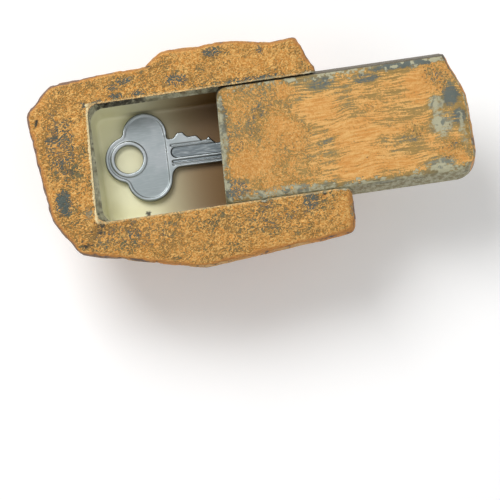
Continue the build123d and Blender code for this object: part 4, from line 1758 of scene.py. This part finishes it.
@dataclass
class RockBody:
    """The stone body: the weathered form with the slot and the pocket cut out of it."""

    form: StoneForm  # the whole stone's form
    sizes: SlotAndCover  # the slot's and the pocket's sizes
    wall_reach: float = 0.35  # how far outside the slot's walls a point still counts as theirs
    pocket_reach: float = 2.2  # the same for the pocket's drafted walls
    tolerance: float = 0.3  # the same for the slot's floor and the pocket's floor
    skin_depth: float = 0.5  # how far below the underside the slot's and the pocket's inside starts
    lip_width: float = 0.6  # how far outside the slot the rounded rim's paint starts
    side_lip: float = 0.35  # how strong the lip's painted highlight is along the slot's sides, where its inner end is 1

    def build(self, finish: Material) -> Piece:
        """Makes the body, with its masks and its paint, in place of the CAD node.

        Args:
            finish: The paint.

        Returns:
            The finished object.
        """
        body = self.form.skin().to_object("stone_body")
        combine(body, self.sizes.slot_tool().to_object("slot_tool"), Cut.TAKE_AWAY)
        combine(body, self.sizes.pocket_tool().to_object("pocket_tool"), Cut.TAKE_AWAY)
        face_outwards(body)
        self.store_masks(body)
        dress(body, finish, "stone", "rock_body")
        return body

    def store_masks(self, body: Piece) -> None:
        """Stores where the paint differs: the underside, its rim, the slot, the pocket and patches."""
        sizes = self.sizes
        points, upwards = read_points(body), read_normals(body)[:, 2]
        x, y, level = points.T
        depth, across = sizes.height - level, y - sizes.middle
        behind = sizes.slot_end + sizes.slant * across - x
        outside = np.maximum(np.abs(across) - sizes.half_width(depth), behind)
        in_slot = (outside < self.wall_reach) & (level > sizes.height - sizes.depth - self.tolerance)
        half_pocket = sizes.pocket_length / 2
        past = np.maximum(np.abs(x - (sizes.pocket_start + half_pocket)) - half_pocket,
                          np.abs(across) - sizes.pocket_width / 2)
        in_pocket = (past < self.pocket_reach) & (depth < sizes.depth + sizes.pocket_depth + self.tolerance)
        high = smooth_step(level, sizes.height - 3.2, sizes.height - 1.2)
        corner = smooth_step(y, 10.0, 18.0) * smooth_step(-x, 22.0, 32.0)
        low = smooth_step(0.74 + 0.18 * corner - upwards, 0.0, 0.18) * smooth_step(level, 27.0, 33.0)
        store_masks(body, {
            "inside": (in_slot | (in_pocket & (depth > self.skin_depth))).astype(float),
            "under": high * smooth_step(upwards, 0.42, 0.80),
            "rim": smooth_step(0.97 - upwards, 0.0, 0.14) * high * (outside > self.lip_width),
            "outline": low * smooth_step(-x, 16.0, 30.0),
            # Where the painted highlight along the slot's lip is drawn.
            "lip": np.maximum(smooth_step(behind, -0.8, 0.0), self.side_lip),
            "hollow": self.form.pits(points),
            "nick": self.form.nicked(points),
        } | patch_masks(points, self.patches()))

    def patches(self) -> dict[str, list[Spot]]:
        """The underside's patches: blue-grey, dark and pale paint, with painted shade along the near side
        and by the near-left corner, the painted shadow on the slot's far wall, the pocket's painted shade
        under the cover and the pocket's mark.
        """
        return {
            "cool": [
                Spot(-38.3, -9.6, 2.2, 3.6, 1.9), Spot(-36.9, 6.8, 4.6, 11, 0.62),
                Spot(-2.6, 20.3, 3.6, 2.1, 0.9), Spot(-17, 22.1, 2.4, 1.3, 0.8),
                Spot(-20.8, 20.7, 2.2, 1.1, 0.8), Spot(-19.8, 18.3, 2.1, 0.9, 0.8),
                Spot(-13.6, 18.3, 2.2, 0.9, 0.8), Spot(8.4, 26.8, 2.8, 1.6, 0.9),
                Spot(22, 25.7, 1.1, 2.4, 0.8), Spot(29.8, -19, 2.4, 3.2, 0.9),
                Spot(19, 17.6, 10, 0.9, 0.85), Spot(-29.3, 16.8, 0.8, 1.1, 1.2),
                Spot(-25.2, 17.5, 1.6, 0.5, 1), Spot(-36.6, 11.8, 3.2, 2.6, 0.4),
                # The last two are faint painted shade along the near side.
                Spot(-20, -21, 16, 4.5, 0.45), Spot(22, -21, 14, 6, 0.35),
            ],
            "dark": [
                # The second spot, by the near-left corner, is painted shade.
                Spot(-43, 14, 0.6, 1.5), Spot(-29.5, -17.8, 2.8, 2.6, 0.55), Spot(34, -17.2, 0.6, 0.7),
                Spot(17.2, -17, 0.7, 0.8), Spot(-9.8, 25.2, 1.2, 1, 0.8), Spot(-33.5, -22.3, 2.2, 0.6, 0.9),
            ],
            "pale": [
                Spot(-32, -13.6, 1.8, 1.9, 0.8), Spot(41, -22.4, 0.7, 4), Spot(36, 20.9, 0.9, 0.7),
                Spot(-17.5, 23, 6, 0.8, 0.4),
            ],
            # Painted shade deep in the pocket, under the cover.
            "pocket_shade": [Spot(14, 0, 26, 60)],
            "shadow": [Spot(-19.5, 18, 8, 3)],
            "mark": [Spot(-15.6, -13.6, 1.1, 1, 0.75)],
        }


@dataclass
class SlideCover:
    """The slide cover: the dovetailed slab, whose outer end is the stone's own flank."""

    form: StoneForm  # the whole stone's form
    sizes: SlotAndCover  # the slot's and the cover's sizes
    # Where one air bubble of the casting stands out of its face, with the cover shut.
    bubble: Spot = Spot(11.4, -7.8, 0.9, 0.9, 0.26)
    dabs: Bumps = Bumps(0.05, 2.4, 2)  # the face's dabs of paint
    sink: float = 0.06  # how far the face is sunk, so that its dabs stay in the cover
    noise: LatticeNoise = field(default_factory=lambda: LatticeNoise(23))  # the noise of its surface

    def build(self, finish: Material) -> Piece:
        """Makes the cover shut, then draws it out, in place of the CAD node.

        Args:
            finish: The paint.

        Returns:
            The finished object.
        """
        cover = self.sizes.cover_tool().to_object("cover_slab")
        combine(cover, self.form.skin().to_object("flank_tool"), Cut.KEEP_COMMON)
        face_outwards(cover)
        points, normals = read_points(cover), read_normals(cover)
        top = self.sizes.height - self.sizes.clearance
        face = smooth_step(normals[:, 2], 0.55, 0.90) * smooth_step(points[:, 2], top - 1.2, top - 0.3)
        slanted = smooth_step(normals[:, 0], 0.55, 0.75) * smooth_step(points[:, 0], 36.0, 38.0)
        masks = {"face": face, "flank": slanted * (1.0 - face)}
        store_masks(cover, masks | patch_masks(points, self.patches()))
        points[:, 2] += face * (self.dabs.over(self.noise, points) - self.sink + self.bubble.spread(points))
        box_end = CAD_BOX[1][0] / METRES - STONE_ORIGIN[0]
        points[:, 0] = np.minimum(points[:, 0] + self.sizes.drawn_out, box_end)
        write_points(cover, points)
        dress(cover, finish, "cover", "slide_cover")
        return cover

    def patches(self) -> dict[str, list[Spot]]:
        """The face's patches with the cover shut: thick orange, blue-grey, pale and pitted paint."""
        return {
            "warm": [
                Spot(-9.5, 13.2, 2.2, 3), Spot(0.4, 7, 5.4, 3), Spot(8.6, -2, 7, 3.6),
                Spot(9.2, -10.6, 6, 5.6), Spot(28.2, 8.8, 3.8, 5), Spot(-21.5, -6.3, 6, 3.6),
                Spot(20, -12, 6, 3, 0.7), Spot(37.2, -13, 2.2, 1.8), Spot(-12, 3, 4, 4, 0.6),
            ],
            "cool": [
                Spot(1.4, 13.9, 4, 2.1, 0.75), Spot(25.9, 15.6, 10.5, 1.2), Spot(14, 13.4, 4.2, 1.6, 0.8),
                Spot(36.9, 5.4, 2.6, 3.8), Spot(38.3, -1, 2.2, 2.6), Spot(-26.6, -12.8, 4.4, 3.2, 0.9),
                Spot(24.4, -5.7, 4, 1.4, 0.6), Spot(-15.9, 8.9, 4.2, 2.8, 0.5), Spot(-27.5, 5, 2, 11, 0.7),
                Spot(-19, 3, 2.4, 8, 0.4), Spot(-24.5, -0.3, 3, 3.6, 0.5), Spot(1.5, -2.9, 3.4, 1.6, 0.5),
                Spot(33.8, 10.8, 3, 2.2, 0.6), Spot(35, -9, 2.6, 1.6, 0.6),
            ],
            "pale": [
                Spot(33.2, -2.6, 3.4, 4.4), Spot(32.4, 3.6, 2.6, 2.4, 0.9), Spot(32.5, -13.9, 5.4, 2.2),
                Spot(-12.9, -15, 13, 1.8, 0.9), Spot(-28, 4, 1.6, 13, 0.8), Spot(-2, -16, 30, 0.7, 0.7),
                Spot(39, -5, 1.6, 8, 0.6),
            ],
            "pitted": [
                Spot(33.6, 11.2, 4.4, 4.8), Spot(35.5, -9.9, 4.2, 3), Spot(14, 5, 3, 2, 0.5),
                Spot(26, -3, 4, 3, 0.5),
            ],
        }


@dataclass
class DoorKey:
    """The door key: the numpy plate, with its bow left bare."""

    form: KeyForm = field(default_factory=KeyForm)  # the key's sizes
    grime: float = 0.85  # how strong the painted shade in the deepest grooves is, 0 to 1
    grime_depths: Range = (0.10, 0.55)  # where the painted shade starts and where it's full, below the face

    def build(self, finish: Material) -> Piece:
        """Makes the key in place of the CAD node.

        Args:
            finish: The metal.

        Returns:
            The finished object.
        """
        key = self.form.surface().to_object("key_blank")
        level = read_points(key)[:, 2]
        depth = np.minimum(level.max() - level, level - level.min())
        # The mask of the painted shade in the grooves.
        store_masks(key, {"sunk": self.grime * smooth_step(depth, *self.grime_depths)})
        dress(key, finish, "key", "door_key")
        return key


def look_along(made: Piece, direction: Vector) -> None:
    """Turns a camera or a light to look along a direction, with its top up or away."""
    made.rotation_mode = "QUATERNION"
    made.rotation_quaternion = direction.to_track_quat("-Z", "Y")


@dataclass(frozen=True)
class Lamp:
    """A square soft light that looks at the stone."""

    name: str  # its name
    place: Triple  # where it is, in metres
    size: float  # its side, in metres
    power: float  # its power, in watts

    def build(self) -> None:
        """Makes the light."""
        data = bpy.data.lights.new(self.name, "AREA")
        data.size, data.energy = self.size, self.power
        light = add_object(self.name, data)
        light.location = self.place
        look_along(light, -Vector(self.place))


@dataclass
class Studio:
    """The floor, the lights and the camera."""

    azimuth: float = -8.3  # the camera's bearing round the stone, in degrees
    elevation: float = 83.0  # the camera's height above the horizon, in degrees
    distance: float = 800.0  # the camera's distance, in mm
    pixels_per_mm: float = 3.6  # the photograph's scale at the underside
    # What the middle of the picture shows, in the stone's frame, in mm.
    aim: Triple = (11.125, -30.03, 38.0)
    frame_pixels: float = 500.0  # the picture's width
    sensor: float = 36.0  # the camera's sensor width, in mm
    view_limits: Range = (0.01, 20.0)  # the nearest and the farthest that the camera sees, in metres
    # The key light and the fill light.
    lamps: tuple[Lamp, ...] = (Lamp("key_light", (-0.26, 0.42, 0.70), 0.42, 5.0),
                               Lamp("fill_light", (0.3, -0.45, 0.7), 0.6, 1.1))
    floor_half: float = 3.0  # half the floor's side, in metres
    floor_colour: Colour = (0.97, 0.97, 0.97, 1.0)  # the floor's colour
    floor_lift: float = 0.10  # how much the floor is whitened to the camera and in the metal alone
    surround: float = 0.40  # how bright the surround is for the light it gives, where 1 is white

    def build(self) -> None:
        """Makes the camera, the floor, the lamps and the surround."""
        self.make_camera()
        self.make_floor()
        for lamp in self.lamps:
            lamp.build()
        self.make_world()

    def make_camera(self) -> None:
        """Places the camera so that the scale and the aim are the photograph's."""
        data = bpy.data.cameras.new("camera")
        camera = add_object("camera", data)
        bpy.context.scene.camera = camera
        data.sensor_width = self.sensor
        data.lens = self.pixels_per_mm * self.distance / self.frame_pixels * self.sensor
        azimuth, elevation = math.radians(self.azimuth), math.radians(self.elevation)
        back = Vector((math.sin(azimuth) * math.cos(elevation),
                       -math.cos(azimuth) * math.cos(elevation), math.sin(elevation)))
        target = Vector((np.array(self.aim) + STONE_ORIGIN) * METRES)
        camera.location = target + back * self.distance * METRES
        look_along(camera, -back)
        data.clip_start, data.clip_end = self.view_limits

    def make_floor(self) -> None:
        """A plain pale floor that keeps the object's shadow."""
        half = self.floor_half
        corners = [(-half, -half, 0.0), (half, -half, 0.0), (half, half, 0.0), (-half, half, 0.0)]
        mesh = bpy.data.meshes.new("floor")
        mesh.from_pydata(corners, [], [(0, 1, 2, 3)])
        paper = Finish("floor_paper")
        paper.shade(Base_Color=self.floor_colour, Roughness=0.9, Specular_IOR_Level=0.1,
                    Emission_Color=WHITE, Emission_Strength=paper.times(paper.seen(), self.floor_lift))
        mesh.materials.append(paper.material)
        add_object("floor", mesh)

    def make_world(self) -> None:
        """A surround that is white to the camera and in the metal, and plain light on the object."""
        world = bpy.data.worlds.new("studio")
        world.use_nodes = True
        nodes = Nodes(world.node_tree)
        background = world.node_tree.nodes["Background"]
        nodes.feed(background, "Color", WHITE)
        strength = nodes.total((nodes.seen(), 1.0 - self.surround), (1.0, self.surround))
        nodes.feed(background, "Strength", strength)
        bpy.context.scene.world = world


def main() -> None:
    """Builds the pieces and the studio, and writes how large the dressed model is."""
    logging.basicConfig(level=logging.INFO, format="%(name)s: %(message)s")
    bpy.context.scene.view_settings.view_transform = "Standard"
    sizes, form, effects = SlotAndCover(), StoneForm(), Effects()
    made = [
        RockBody(form, sizes).build(PaintedResin("stone_paint", sizes).shader(effects)),
        SlideCover(form, sizes).build(CoverPaint("cover_paint", sizes).shader(effects)),
        DoorKey().build(NickelKeyMetal("key_nickel").shader()),
    ]
    for piece in made:
        LOG.info("%s: %d points, %d faces", piece.name, len(piece.data.vertices), len(piece.data.polygons))
    Studio().build()
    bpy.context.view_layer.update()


if __name__ == "__main__":
    main()
